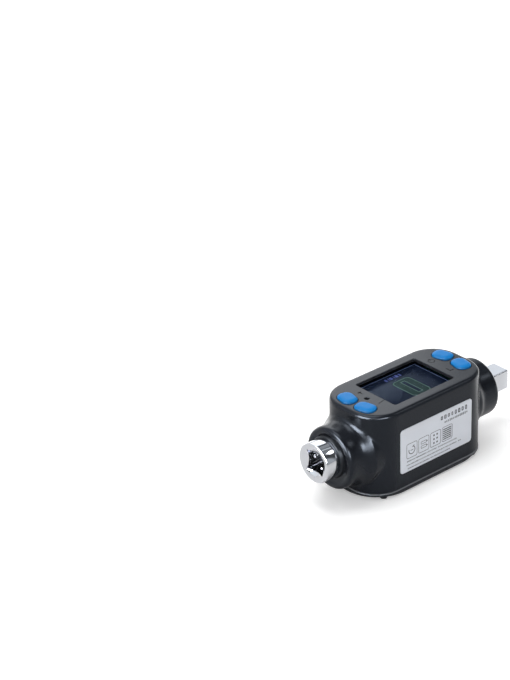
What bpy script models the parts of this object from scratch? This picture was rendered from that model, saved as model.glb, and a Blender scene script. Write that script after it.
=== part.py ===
"""Digital torque adapter: a measuring shaft with a female and a male square drive, in a moulded housing.

The shaft lies along X, female end at -X, male end at +X. Z is up, and the feet stand on Z = 0.
Everything is in metres. Run it with blender --background --python part.py or from the text editor.
"""
import math

import bmesh
import bpy
from mathutils import Matrix, Vector

MM = 0.001

# Running clearance between pieces that fit or rest on each other
GAP = 0.3 * MM

# Housing
BODY_LENGTH = 96.0 * MM
BODY_WIDTH = 49.5 * MM
BODY_CORNER = 18.8 * MM
AXIS_TO_TOP = 26.5 * MM
AXIS_TO_SEAM = 24.8 * MM
SIDE_WALL = 2.4 * MM
TOP_WALL = 1.9 * MM
TOP_EDGE_ROUND = 1.6 * MM

# Necks: each stands out from the end of the body
FRONT_NECK_LENGTH = 13.0 * MM
FRONT_NECK_RADIUS = 19.3 * MM
FRONT_NECK_DROP = 1.7 * MM
FRONT_NECK_ROUND = 2.2 * MM
NECK_RIM_WIDTH = 1.3 * MM
FRONT_FACE_DISH = 0.6 * MM
REAR_NECK_LENGTH = 13.6 * MM
REAR_NECK_RADIUS = 18.3 * MM
REAR_NECK_LIFT = 0.8 * MM
REAR_NECK_ROUND = 1.6 * MM
REAR_FACE_DISH = 0.2 * MM
FLARE_RADIUS = 11.0 * MM
FLARE_RISE = 3.2 * MM

# Base cover and feet
COVER_THICKNESS = 3.4 * MM
COVER_LEDGE = 0.3 * MM
COVER_RIM = 1.5 * MM
COVER_END_FLAT = 2.1 * MM
COVER_EDGE_ROUND = 1.0 * MM
FOOT_PROUD = 0.8 * MM
FOOT_CHAMFER = 0.4 * MM
FOOT_BOSS_RADIUS = 2.7 * MM
FOOT_BOSS_SUNK = 0.15 * MM
FOOT_RADIUS = 2.2 * MM
FOOT_FROM_END = 11.6 * MM
FOOT_FROM_SIDE = 4.9 * MM
FOOT_PEG_RADIUS = 1.1 * MM
FOOT_PEG_LENGTH = 1.2 * MM
GASKET_WIDTH = 0.9 * MM
GASKET_HEIGHT = 0.8 * MM
GASKET_FROM_CAVITY = 0.2 * MM

# Cover screws and their posts
POST_RADIUS = 3.4 * MM
POST_HEIGHT = 30.0 * MM
POST_FROM_END = 20.0 * MM
POST_BITE = 0.4 * MM
COVER_SCREW_RADIUS = 1.25 * MM
COVER_SCREW_HEAD = 2.4 * MM
COVER_SCREW_LENGTH = 9.0 * MM

# Torque shaft
HEAD_STAND_OFF = 2.0 * MM
HEAD_RADIUS = 12.3 * MM
HEAD_LENGTH = 9.6 * MM
HEAD_CHAMFER = 0.7 * MM
HEAD_BACK_EDGE = 0.25 * MM
FEMALE_SQUARE = 12.9 * MM
FEMALE_DEPTH = 16.5 * MM
FEMALE_MOUTH_RADIUS = 10.4 * MM
FEMALE_MOUTH_HALF_ANGLE = math.radians(60)
SQUARE_CORNER = 0.9 * MM
FEMALE_CORNER = 0.3 * MM
MALE_END_CORNER = 0.45 * MM
FRONT_JOURNAL = 11.0 * MM
WAIST_RADIUS = 8.0 * MM
WAIST_FROM_CAVITY = 10.6 * MM
WAIST_FILLET = 2.0 * MM
REAR_JOURNAL = 9.0 * MM
SHOULDER_STAND_OFF = 4.4 * MM
MALE_SQUARE = 12.7 * MM
MALE_LENGTH = 16.1 * MM
MALE_CHAMFER = 0.9 * MM
SHOULDER_CHAMFER = 0.8 * MM

# Detent in the male square
BALL_RADIUS = 1.9 * MM
BALL_PROUD = 0.8 * MM
BALL_FROM_END = 7.6 * MM
BALL_HOLE_DEPTH = 7.6 * MM
BALL_LIP = 0.5 * MM
BALL_MOUTH_FREE = 0.2 * MM
SPRING_WIRE = 0.22 * MM
SPRING_RADIUS = 1.45 * MM
SPRING_TURNS = 4
DIMPLE_RADIUS = 2.3 * MM
DIMPLE_DEPTH = 0.7 * MM
DIMPLE_FROM_FACE = 8.0 * MM

# Bushes, seal, retaining ring and lock screw
FRONT_BUSH_WALL = 1.7 * MM
FRONT_BUSH_FLANGE = 2.0 * MM
SPOT_FACE_DEPTH = 0.2 * MM
REAR_BUSH_WALL = 2.2 * MM
REAR_BUSH_FLANGE = 1.6 * MM
BUSH_FLANGE_THICKNESS = 1.0 * MM
SEAL_WIRE = 0.8 * MM
SEAL_FROM_JOURNAL_END = 6.0 * MM
RING_THICKNESS = 1.0 * MM
RING_WIDTH = 2.2 * MM
RING_OPENING = math.radians(56)
RING_GROOVE_DEPTH = 0.8 * MM
BOSS_WALL = 3.7 * MM
BOSS_LENGTH = 7.0 * MM
LOCK_SCREW_RADIUS = 1.5 * MM
LOCK_SCREW_HEAD = 2.6 * MM
LOCK_SCREW_BITE = 3.0 * MM

# Window, lens and display
WINDOW_FROM_END = 24.0 * MM
WINDOW_FROM_SIDE = 7.95 * MM
WINDOW_CORNER = 1.2 * MM
LENS_OVERLAP = 1.7 * MM
LENS_THICKNESS = 1.2 * MM
DISPLAY_MARGIN = 0.8 * MM
DISPLAY_THICKNESS = 4.0 * MM

# Main board and its screws
BOARD_THICKNESS = 1.6 * MM
BOARD_END_GAP = 2.0 * MM
BOARD_SIDE_GAP = 2.2 * MM
BOARD_BOSS_RADIUS = 2.5 * MM
BOARD_BOSS_FROM_END = 15.0 * MM
BOARD_BOSS_FROM_SIDE = 2.75 * MM
BOARD_SCREW_RADIUS = 1.0 * MM
BOARD_SCREW_HEAD = 2.0 * MM
BOARD_SCREW_HEAD_HEIGHT = 1.2 * MM
BOARD_SCREW_EDGE = 0.4 * MM
BOARD_SCREW_LENGTH = 4.6 * MM

# Buttons, and the switches under them
BUTTON_FROM_END = 9.2 * MM
BUTTON_FROM_MIDDLE = 7.6 * MM
BUTTON_LENGTH = 10.0 * MM
BUTTON_WIDTH = 13.0 * MM
BUTTON_CORNER = 4.4 * MM
BUTTON_TILT = math.radians(13)
BUTTON_PROUD = 1.6 * MM
BUTTON_CROWN = 1.3 * MM
BUTTON_CROWN_INSET = 3.0 * MM
BUTTON_LIP = 0.5 * MM
BUTTON_LIP_INSET = 0.75 * MM
BUTTON_LIP_CORNER = 5.2 * MM
BUTTON_LIP_THICKNESS = 0.9 * MM
BUTTON_TRAVEL = 0.6 * MM
SWITCH_SIDE = 6.0 * MM
SWITCH_CORNER = 0.4 * MM
SWITCH_HEIGHT = 3.0 * MM
PLUNGER_RADIUS = 1.7 * MM
PLUNGER_SUNK = 0.9 * MM
PLUNGER_PROUD = 0.8 * MM

# Sounder
SOUND_HOLE_FROM_END = 17.5 * MM
SOUND_HOLE_RADIUS = 1.5 * MM
SOUNDER_RADIUS = 3.4 * MM
SOUNDER_HEIGHT = 3.2 * MM

# Label plate in its shallow recess
LABEL_FROM_END = 18.85 * MM
LABEL_HEIGHT = 29.0 * MM
LABEL_SHIFT_X = 1.7 * MM
LABEL_DROP = 1.1 * MM
LABEL_CORNER = 2.2 * MM
LABEL_THICKNESS = 0.3 * MM

# Cells, tray, contacts and leads
CELL_DIAMETER = 10.5 * MM
CELL_LENGTH = 44.5 * MM
CELL_PITCH = 11.5 * MM
CELL_NUB_RADIUS = 1.8 * MM
CELL_NUB_LENGTH = 1.0 * MM
CELL_EDGE = 0.4 * MM
TRAY_WALL = 1.2 * MM
CONTACT_THICKNESS = 0.5 * MM
CONTACT_SIDE = 8.0 * MM
CONTACT_SPRING_LENGTH = 2.4 * MM
CONTACT_SPRING_RADIUS = 2.6 * MM
CONTACT_SPRING_TIP = 1.8 * MM
CONTACT_SPRING_WIRE = 0.25 * MM
CONTACT_SPRING_TURNS = 2
LEAD_RADIUS = 0.5 * MM
LEAD_BEND = 1.5 * MM
LEAD_STAND_OFF = 3.0 * MM

# Strain gauges on the waist of the shaft
GAUGE_LENGTH = 9.0 * MM
GAUGE_THICKNESS = 0.3 * MM
GAUGE_SPREAD = math.radians(50)
CABLE_START = math.radians(-10)
CABLE_WRAP = math.radians(45)
CABLE_FROM_WAIST = 1.2 * MM

# Fineness of round forms
CORNER_STEPS = 9
ROUND_STEPS = 3
FLARE_STEPS = 5
TURN_STEPS = 36
SMALL_STEPS = 12

# Levels and places worked out from the sizes above
FRONT_NECK_REACH = BODY_LENGTH / 2 + FRONT_NECK_LENGTH
REAR_NECK_REACH = BODY_LENGTH / 2 + REAR_NECK_LENGTH
HEAD_BACK_REACH = FRONT_NECK_REACH + HEAD_STAND_OFF
FEMALE_REACH = HEAD_BACK_REACH + HEAD_LENGTH
SHOULDER_END = REAR_NECK_REACH + SHOULDER_STAND_OFF
MALE_REACH = SHOULDER_END + MALE_LENGTH
BODY_X = (FEMALE_REACH - MALE_REACH) / 2
COVER_LOW_Z = FOOT_PROUD
COVER_TOP_Z = COVER_LOW_Z + COVER_THICKNESS
HOUSING_LOW_Z = COVER_TOP_Z + GAP
AXIS_Z = COVER_TOP_Z + AXIS_TO_SEAM
TOP_Z = AXIS_Z + AXIS_TO_TOP
PANEL_LOW_Z = TOP_Z - TOP_WALL
LENS_LOW_Z = PANEL_LOW_Z - GAP - LENS_THICKNESS
DISPLAY_LOW_Z = LENS_LOW_Z - GAP - DISPLAY_THICKNESS
BOARD_TOP_Z = DISPLAY_LOW_Z - GAP
BOARD_LOW_Z = BOARD_TOP_Z - BOARD_THICKNESS
SWITCH_LOW_Z = BOARD_TOP_Z + GAP
SWITCH_TOP_Z = SWITCH_LOW_Z + SWITCH_HEIGHT
PLUNGER_TOP_Z = SWITCH_TOP_Z + PLUNGER_PROUD
CAVITY_END = BODY_LENGTH / 2 - SIDE_WALL
FLANGE_SEAT = CAVITY_END + SPOT_FACE_DEPTH
WAIST_END = CAVITY_END - WAIST_FROM_CAVITY
FRONT_BUSH_RADIUS = FRONT_JOURNAL + GAP + FRONT_BUSH_WALL
REAR_BUSH_RADIUS = REAR_JOURNAL + GAP + REAR_BUSH_WALL
RING_LOW_X = REAR_NECK_REACH + GAP + BUSH_FLANGE_THICKNESS + GAP
CELL_Z = COVER_TOP_Z + GAP + CELL_DIAMETER / 2
TRAY_HALF_LENGTH = (CELL_LENGTH + CONTACT_SPRING_LENGTH + 2 * CONTACT_THICKNESS + 5 * GAP) / 2
TRAY_HALF_WIDTH = CELL_PITCH / 2 + CELL_DIAMETER / 2 + GAP
POST_Y = BODY_WIDTH / 2 - SIDE_WALL - POST_RADIUS + POST_BITE
POST_X = BODY_LENGTH / 2 - POST_FROM_END
WINDOW_LENGTH = BODY_LENGTH - 2 * WINDOW_FROM_END
WINDOW_WIDTH = BODY_WIDTH - 2 * WINDOW_FROM_SIDE
BOARD_HALF_LENGTH = CAVITY_END - BOARD_END_GAP
BOARD_HALF_WIDTH = BODY_WIDTH / 2 - SIDE_WALL - BOARD_SIDE_GAP
BOARD_BOSS_X = BOARD_HALF_LENGTH - BOARD_BOSS_FROM_END
BOARD_BOSS_Y = BOARD_HALF_WIDTH - BOARD_BOSS_FROM_SIDE
BUTTON_X = BODY_LENGTH / 2 - BUTTON_FROM_END
SOUND_HOLE_X = BODY_LENGTH / 2 - SOUND_HOLE_FROM_END
LABEL_LENGTH = BODY_LENGTH - 2 * LABEL_FROM_END


def new_collection(name):
    collection = bpy.data.collections.new(name)
    bpy.context.scene.collection.children.link(collection)
    return collection


def start_scene():
    for old in list(bpy.data.objects):
        bpy.data.objects.remove(old, do_unlink=True)
    return new_collection("digital_torque_adapter"), new_collection("cutters")


PARTS, CUTTERS = start_scene()


def finish(name, colour, roughness, metallic=0.0):
    """A plain Principled material of one colour."""
    material = bpy.data.materials.new(name)
    material.use_nodes = True
    shader = material.node_tree.nodes["Principled BSDF"]
    shader.inputs["Base Color"].default_value = (*colour, 1.0)
    shader.inputs["Roughness"].default_value = roughness
    shader.inputs["Metallic"].default_value = metallic
    material.diffuse_color = (*colour, 1.0)
    return material


def place(name, mesh, colour=None, roughness=0.5, metallic=0.0):
    """Adds a mesh as a part with its own material, or as a hidden cutter when it has no colour."""
    thing = bpy.data.objects.new(name, mesh)
    if colour is None:
        thing.hide_render = True
        thing.display_type = "WIRE"
        CUTTERS.objects.link(thing)
        return thing
    mesh.materials.append(finish(name, colour, roughness, metallic))
    PARTS.objects.link(thing)
    return thing


def as_mesh(name, shape):
    """Turns a bmesh into a mesh with smooth round faces and sharp edges."""
    mesh = bpy.data.meshes.new(name)
    shape.to_mesh(mesh)
    shape.free()
    mesh.shade_smooth()
    mesh.set_sharp_from_angle(angle=math.radians(35))
    return mesh


def rounded_outline(length, width, radius, steps=CORNER_STEPS, centre=(0, 0), turn=0.0):
    """Points of a rectangle with round corners, counter-clockwise."""
    points = []
    quarter = math.pi / 2
    corners = ((1, -1, -quarter), (1, 1, 0.0), (-1, 1, quarter), (-1, -1, math.pi))
    radius = min(radius, length / 2, width / 2)
    for side_x, side_y, start in corners:
        corner_x = side_x * (length / 2 - radius)
        corner_y = side_y * (width / 2 - radius)
        for step in range(steps + 1):
            angle = start + quarter * step / steps
            points.append((corner_x + radius * math.cos(angle), corner_y + radius * math.sin(angle)))
    cos, sin = math.cos(turn), math.sin(turn)
    moved = [(centre[0] + x * cos - y * sin, centre[1] + x * sin + y * cos) for x, y in points]
    return [moved[i] for i in range(len(moved)) if math.dist(moved[i], moved[i - 1]) > 1e-6]


def lofted(sections):
    """A closed bmesh through outlines stacked along z. Each section is (z, outline)."""
    shape = bmesh.new()
    rings = []
    for z, outline in sections:
        rings.append([shape.verts.new((x, y, z)) for x, y in outline])
    for low, high in zip(rings, rings[1:]):
        for i in range(len(low)):
            j = (i + 1) % len(low)
            shape.faces.new((low[i], low[j], high[j], high[i]))
    shape.faces.new(reversed(rings[0]))
    shape.faces.new(rings[-1])
    return shape


def block_sections(length, width, radius, low, high, low_round=0.0, high_round=0.0, **place_args):
    """Sections of a block with a rounded plan, and with its lower or upper edge rounded."""
    levels = []
    if low_round:
        for step in range(ROUND_STEPS):
            angle = math.pi / 2 * step / ROUND_STEPS
            levels.append((low + low_round * (1 - math.cos(angle)), low_round * (1 - math.sin(angle))))
    levels.append((low + low_round, 0.0))
    levels.append((high - high_round, 0.0))
    if high_round:
        for step in range(1, ROUND_STEPS + 1):
            angle = math.pi / 2 * step / ROUND_STEPS
            levels.append((high - high_round * (1 - math.sin(angle)), high_round * (1 - math.cos(angle))))
    sections = []
    for z, inset in levels:
        outline = rounded_outline(length - 2 * inset, width - 2 * inset, radius - inset, **place_args)
        sections.append((z, outline))
    return sections


def block(name, length, width, radius, low, high, *look, low_round=0.0, high_round=0.0, **place_args):
    sections = block_sections(length, width, radius, low, high, low_round, high_round, **place_args)
    return place(name, as_mesh(name, lofted(sections)), *look)


def box(name, low, high, *look):
    """A plain box between two corners."""
    shape = bmesh.new()
    bmesh.ops.create_cube(shape, size=1.0)
    size = [b - a for a, b in zip(low, high)]
    centre = [(a + b) / 2 for a, b in zip(low, high)]
    bmesh.ops.scale(shape, vec=size, verts=shape.verts)
    bmesh.ops.translate(shape, vec=centre, verts=shape.verts)
    return place(name, as_mesh(name, shape), *look)


def rod(name, radius, low, high, centre, *look, steps=SMALL_STEPS):
    """An upright cylinder, turned half a facet so that its edges don't meet those of a bore it crosses."""
    shape = bmesh.new()
    bmesh.ops.create_cone(shape, cap_ends=True, segments=steps, radius1=radius, radius2=radius,
                          depth=high - low)
    half_facet = Matrix.Rotation(math.pi / steps, 3, "Z")
    bmesh.ops.rotate(shape, cent=(0, 0, 0), matrix=half_facet, verts=shape.verts)
    thing = place(name, as_mesh(name, shape), *look)
    thing.location = (*centre, (low + high) / 2)
    return thing


def turned(name, profile, *look, closed=False, steps=TURN_STEPS, along_x=True, at=(BODY_X, 0, AXIS_Z),
           half_facet=False):
    """Turns a profile of (reach, radius) points with a Screw modifier, about X or about Z.

    An open profile starts and ends on the axis. A closed one is a loop, outer side first. A bore is
    turned half a facet, so that its edges don't meet those of the faces it goes through.
    """
    points = list(profile)
    if not closed and points[0][0] < points[-1][0]:
        points.reverse()
    mesh = bpy.data.meshes.new(name)
    count = len(points)
    edges = [(i, i + 1) for i in range(count - 1)]
    if closed:
        edges.append((count - 1, 0))
    turn = math.pi / steps if half_facet else 0.0
    mesh.from_pydata([(r * math.cos(turn), r * math.sin(turn), reach) for reach, r in points], edges, [])
    thing = place(name, mesh, *look)
    screw = thing.modifiers.new("turn", "SCREW")
    screw.steps = steps
    screw.render_steps = steps
    screw.use_merge_vertices = True
    screw.merge_threshold = 0.00001
    screw.use_smooth_shade = True
    if along_x:
        thing.rotation_euler = (0, math.pi / 2, 0)
    thing.location = at
    return thing


def combine(thing, other, how):
    """Joins, cuts or trims a thing with another by an exact Boolean."""
    step = thing.modifiers.new(other.name, "BOOLEAN")
    step.operation = how
    step.solver = "EXACT"
    step.object = other


def cut(thing, other):
    combine(thing, other, "DIFFERENCE")


def join(thing, other):
    combine(thing, other, "UNION")


def wire(name, points, radius, *look):
    """A round wire along points, with flat ends."""
    curve = bpy.data.curves.new(name, "CURVE")
    curve.dimensions = "3D"
    curve.bevel_depth = radius
    curve.bevel_resolution = 1
    curve.use_fill_caps = True
    path = curve.splines.new("POLY")
    path.points.add(len(points) - 1)
    for point, place_on in zip(path.points, points):
        point.co = (*place_on, 1.0)
    thing = bpy.data.objects.new(name, curve)
    curve.materials.append(finish(name, *look))
    PARTS.objects.link(thing)
    return thing


def smooth_path(knots, steps=4):
    """Points on a smooth curve through the knots."""
    knots = [Vector(k) for k in knots]
    ends = [2 * knots[0] - knots[1], *knots, 2 * knots[-1] - knots[-2]]
    points = []
    for a, b, c, d in zip(ends, ends[1:], ends[2:], ends[3:]):
        for step in range(steps):
            t = step / steps
            points.append(0.5 * ((2 * b) + (c - a) * t + (2 * a - 5 * b + 4 * c - d) * t ** 2
                                 + (3 * b - a - 3 * c + d) * t ** 3))
    points.append(knots[-1])
    return points


def helix(start, end, start_radius, end_radius, turns, steps=10):
    """Points of a coil between two points on one axis, along X or Z."""
    start, end = Vector(start), Vector(end)
    axis = (end - start).normalized()
    side = Vector((0, 1, 0))
    other = axis.cross(side)
    points = []
    for i in range(turns * steps + 1):
        t = i / (turns * steps)
        angle = 2 * math.pi * turns * t
        radius = start_radius + (end_radius - start_radius) * t
        points.append(start.lerp(end, t) + radius * (math.cos(angle) * side + math.sin(angle) * other))
    return points


def arc(centre_x, centre_r, radius, start, end, steps=ROUND_STEPS):
    """Points (reach, radius) of an arc, from one angle to another in degrees."""
    points = []
    for step in range(steps + 1):
        angle = math.radians(start + (end - start) * step / steps)
        points.append((centre_x + radius * math.cos(angle), centre_r + radius * math.sin(angle)))
    return points


def neck_profile(reach, radius, edge_round, dish):
    """A neck towards +X: a concave flare out of the body, a round barrel, a rounded rim and a dished face."""
    flare_angle = math.acos(1 - FLARE_RISE / FLARE_RADIUS)
    flare_x = min(CAVITY_END + FLARE_RADIUS * math.sin(flare_angle), reach - edge_round)
    flare = arc(flare_x, radius + FLARE_RADIUS, FLARE_RADIUS, -90 - math.degrees(flare_angle), -90, FLARE_STEPS)
    rim = arc(reach - edge_round, radius - edge_round, edge_round, 90, 0)
    lip = radius - edge_round - NECK_RIM_WIDTH
    face = [(reach, lip), (reach - dish, lip - dish), (reach - dish, 0.0)]
    return [(0.0, 0.0), (0.0, radius + FLARE_RISE), *flare, *rim, *face]


def make_housing():
    look = ((0.03, 0.032, 0.035), 0.45)
    housing = block("housing", BODY_LENGTH, BODY_WIDTH, BODY_CORNER, HOUSING_LOW_Z, TOP_Z, *look,
                    high_round=TOP_EDGE_ROUND, centre=(BODY_X, 0))
    front = neck_profile(FRONT_NECK_REACH, FRONT_NECK_RADIUS, FRONT_NECK_ROUND, FRONT_FACE_DISH)
    join(housing, turned("front_neck", [(-x, r) for x, r in front],
                         at=(BODY_X, 0, AXIS_Z - FRONT_NECK_DROP)))
    rear = neck_profile(REAR_NECK_REACH, REAR_NECK_RADIUS, REAR_NECK_ROUND, REAR_FACE_DISH)
    join(housing, turned("rear_neck", rear, at=(BODY_X, 0, AXIS_Z + REAR_NECK_LIFT)))
    cut(housing, block("cavity", BODY_LENGTH - 2 * SIDE_WALL, BODY_WIDTH - 2 * SIDE_WALL,
                       BODY_CORNER - SIDE_WALL, 0, PANEL_LOW_Z, centre=(BODY_X, 0)))
    add_housing_bosses(housing)
    cut_housing_bores(housing)
    cut_top_panel(housing)
    return housing


def add_housing_bosses(housing):
    """Posts for the cover screws, bosses for the board and a tube round the rear of the shaft."""
    for side_x in (-1, 1):
        for side_y in (-1, 1):
            spot = (BODY_X + side_x * POST_X, side_y * POST_Y)
            join(housing, rod("post", POST_RADIUS, HOUSING_LOW_Z + GAP, HOUSING_LOW_Z + POST_HEIGHT, spot))
            cut(housing, rod("post_hole", COVER_SCREW_RADIUS + GAP, 0,
                             COVER_TOP_Z + COVER_SCREW_LENGTH, spot))
            spot = (BODY_X + side_x * BOARD_BOSS_X, side_y * BOARD_BOSS_Y)
            join(housing, rod("boss", BOARD_BOSS_RADIUS, BOARD_TOP_Z + GAP, TOP_Z - TOP_WALL / 2, spot))
            cut(housing, rod("boss_hole", BOARD_SCREW_RADIUS + GAP, 0,
                             BOARD_LOW_Z + BOARD_SCREW_LENGTH, spot))
    boss_radius = REAR_JOURNAL + GAP + BOSS_WALL
    boss_start = CAVITY_END - BOSS_LENGTH
    join(housing, turned("shaft_boss", [(boss_start, 0.0), (boss_start, boss_radius),
                                        (BODY_LENGTH / 2 - SIDE_WALL / 2, boss_radius),
                                        (BODY_LENGTH / 2 - SIDE_WALL / 2, 0.0)]))


def cut_housing_bores(housing):
    """The bores for the bushes and the shaft, the lock screw's hole and the label's recess."""
    front_bore = FRONT_BUSH_RADIUS + GAP
    flange_bore = front_bore + FRONT_BUSH_FLANGE
    cut(housing, turned("front_bore", [(-2 * BODY_LENGTH, 0.0), (-2 * BODY_LENGTH, front_bore),
                                       (-FLANGE_SEAT, front_bore), (-FLANGE_SEAT, flange_bore),
                                       (-WAIST_END, flange_bore), (-WAIST_END, 0.0)],
                        half_facet=True))
    rear_bore = REAR_BUSH_RADIUS + GAP
    shaft_bore = REAR_JOURNAL + GAP
    seat = BODY_LENGTH / 2
    bore = turned("rear_bore", [(0.0, 0.0), (0.0, shaft_bore), (seat, shaft_bore), (seat, rear_bore),
                                (2 * BODY_LENGTH, rear_bore), (2 * BODY_LENGTH, 0.0)],
                  half_facet=True)
    join(bore, rod("lock_screw_hole", LOCK_SCREW_RADIUS + GAP, 0, AXIS_Z - REAR_JOURNAL / 2,
                   (lock_screw_x(), 0)))
    cut(housing, bore)
    recess = label_shape("label_recess", GAP, 2 * GAP + LABEL_THICKNESS)
    cut(housing, recess)


def cut_top_panel(housing):
    """The window, the four button holes and the sound hole."""
    cut(housing, block("window", WINDOW_LENGTH, WINDOW_WIDTH, WINDOW_CORNER, PANEL_LOW_Z - GAP, TOP_Z + GAP,
                       centre=(BODY_X, 0), steps=3))
    for end, side in button_spots():
        outline = {"centre": button_centre(end, side), "turn": button_turn(end, side), "steps": 5}
        cut(housing, block("button_hole", BUTTON_LENGTH + 2 * GAP, BUTTON_WIDTH + 2 * GAP,
                           BUTTON_CORNER + GAP, PANEL_LOW_Z - GAP, TOP_Z + GAP, **outline))
    cut(housing, rod("sound_hole", SOUND_HOLE_RADIUS, PANEL_LOW_Z - GAP, TOP_Z + GAP,
                     (BODY_X - SOUND_HOLE_X, 0)))


def lock_screw_x():
    return BODY_X + CAVITY_END - BOSS_LENGTH / 2


def button_spots():
    return [(end, side) for end in (-1, 1) for side in (-1, 1)]


def button_centre(end, side):
    return (BODY_X + end * BUTTON_X, side * BUTTON_FROM_MIDDLE)


def button_turn(end, side):
    """The outer ends of a pair lean towards the window."""
    return end * side * BUTTON_TILT


def spot_name(end, side):
    return ("front" if end < 0 else "rear") + ("_near" if side < 0 else "_far")


def label_shape(name, margin, depth, *look):
    """An upright plate on the near side, its face flush with the housing."""
    outline = rounded_outline(LABEL_LENGTH + 2 * margin, LABEL_HEIGHT + 2 * margin, LABEL_CORNER, 4)
    shape = lofted([(-margin, outline), (depth - margin, outline)])
    lay = Matrix.Rotation(math.radians(-90), 4, "X")
    spot = Matrix.Translation((BODY_X + LABEL_SHIFT_X, -BODY_WIDTH / 2, AXIS_Z - LABEL_DROP))
    bmesh.ops.transform(shape, matrix=spot @ lay, verts=shape.verts)
    return place(name, as_mesh(name, shape), *look)


def make_label():
    return label_shape("label_plate", 0.0, LABEL_THICKNESS, (0.62, 0.64, 0.68), 0.4)


def make_cover():
    """The base cover: a plate a little wider than the housing, its corners drawn in below the rim."""
    length = BODY_LENGTH + 2 * COVER_LEDGE
    width = BODY_WIDTH + 2 * COVER_LEDGE
    rim_corner = BODY_CORNER + COVER_LEDGE
    low_corner = (width - COVER_END_FLAT) / 2
    sections = block_sections(length, width, low_corner, COVER_LOW_Z, COVER_LOW_Z + COVER_EDGE_ROUND,
                              low_round=COVER_EDGE_ROUND, centre=(BODY_X, 0))[:-1]
    for z in (COVER_TOP_Z - COVER_RIM, COVER_TOP_Z):
        sections.append((z, rounded_outline(length, width, rim_corner, centre=(BODY_X, 0))))
    cover = place("base_cover", as_mesh("base_cover", lofted(sections)), (0.03, 0.032, 0.035), 0.5)
    for side_x in (-1, 1):
        for side_y in (-1, 1):
            join(cover, rod("foot_boss", FOOT_BOSS_RADIUS, COVER_LOW_Z + FOOT_BOSS_SUNK,
                            COVER_TOP_Z - COVER_RIM / 2, foot_centre(side_x, side_y), steps=18))
            spot = (BODY_X + side_x * POST_X, side_y * POST_Y)
            sink = COVER_SCREW_HEAD - COVER_SCREW_RADIUS
            hole = [(COVER_LOW_Z - GAP, 0.0), (COVER_LOW_Z - GAP, COVER_SCREW_HEAD + GAP),
                    (COVER_LOW_Z + GAP, COVER_SCREW_HEAD + GAP),
                    (COVER_LOW_Z + GAP + sink, COVER_SCREW_RADIUS + GAP),
                    (COVER_TOP_Z + GAP, COVER_SCREW_RADIUS + GAP), (COVER_TOP_Z + GAP, 0.0)]
            cut(cover, turned("cover_screw_hole", hole, steps=SMALL_STEPS, along_x=False, at=(*spot, 0)))
            foot = foot_centre(side_x, side_y)
            cut(cover, rod("foot_hole", FOOT_PEG_RADIUS + GAP, COVER_LOW_Z - GAP,
                           COVER_LOW_Z + FOOT_PEG_LENGTH + GAP, foot))
    return cover


def foot_centre(side_x, side_y):
    return (BODY_X + side_x * (BODY_LENGTH / 2 - FOOT_FROM_END), side_y * (BODY_WIDTH / 2 - FOOT_FROM_SIDE))


def make_cover_screws_and_feet():
    number = 0
    for side_x in (-1, 1):
        for side_y in (-1, 1):
            number += 1
            spot = (BODY_X + side_x * POST_X, side_y * POST_Y)
            sink = COVER_SCREW_HEAD - COVER_SCREW_RADIUS
            head = COVER_LOW_Z + GAP
            screw = [(head, 0.0), (head, COVER_SCREW_HEAD), (head + sink, COVER_SCREW_RADIUS),
                     (COVER_TOP_Z + COVER_SCREW_LENGTH - GAP, COVER_SCREW_RADIUS),
                     (COVER_TOP_Z + COVER_SCREW_LENGTH - GAP, 0.0)]
            turned(f"cover_screw_{number}", screw, (0.35, 0.35, 0.36), 0.35, 0.9,
                   steps=SMALL_STEPS, along_x=False, at=(*spot, 0))
            foot = [(0.0, 0.0), (0.0, FOOT_RADIUS - FOOT_CHAMFER), (FOOT_CHAMFER, FOOT_RADIUS),
                    (FOOT_PROUD - GAP, FOOT_RADIUS), (FOOT_PROUD - GAP, FOOT_PEG_RADIUS),
                    (FOOT_PROUD + FOOT_PEG_LENGTH, FOOT_PEG_RADIUS), (FOOT_PROUD + FOOT_PEG_LENGTH, 0.0)]
            turned(f"foot_{number}", foot, (0.02, 0.02, 0.02), 0.8, 0.0,
                   steps=SMALL_STEPS, along_x=False, at=(*foot_centre(side_x, side_y), 0))


def make_lens_and_display():
    block("window_lens", WINDOW_LENGTH + 2 * LENS_OVERLAP, WINDOW_WIDTH + 2 * LENS_OVERLAP, WINDOW_CORNER,
          LENS_LOW_Z, LENS_LOW_Z + LENS_THICKNESS, (0.1, 0.12, 0.16), 0.08, centre=(BODY_X, 0), steps=3)
    block("display_module", WINDOW_LENGTH + 2 * DISPLAY_MARGIN, WINDOW_WIDTH + 2 * DISPLAY_MARGIN,
          WINDOW_CORNER, DISPLAY_LOW_Z, DISPLAY_LOW_Z + DISPLAY_THICKNESS, (0.08, 0.1, 0.14), 0.3,
          centre=(BODY_X, 0), steps=3)


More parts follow.
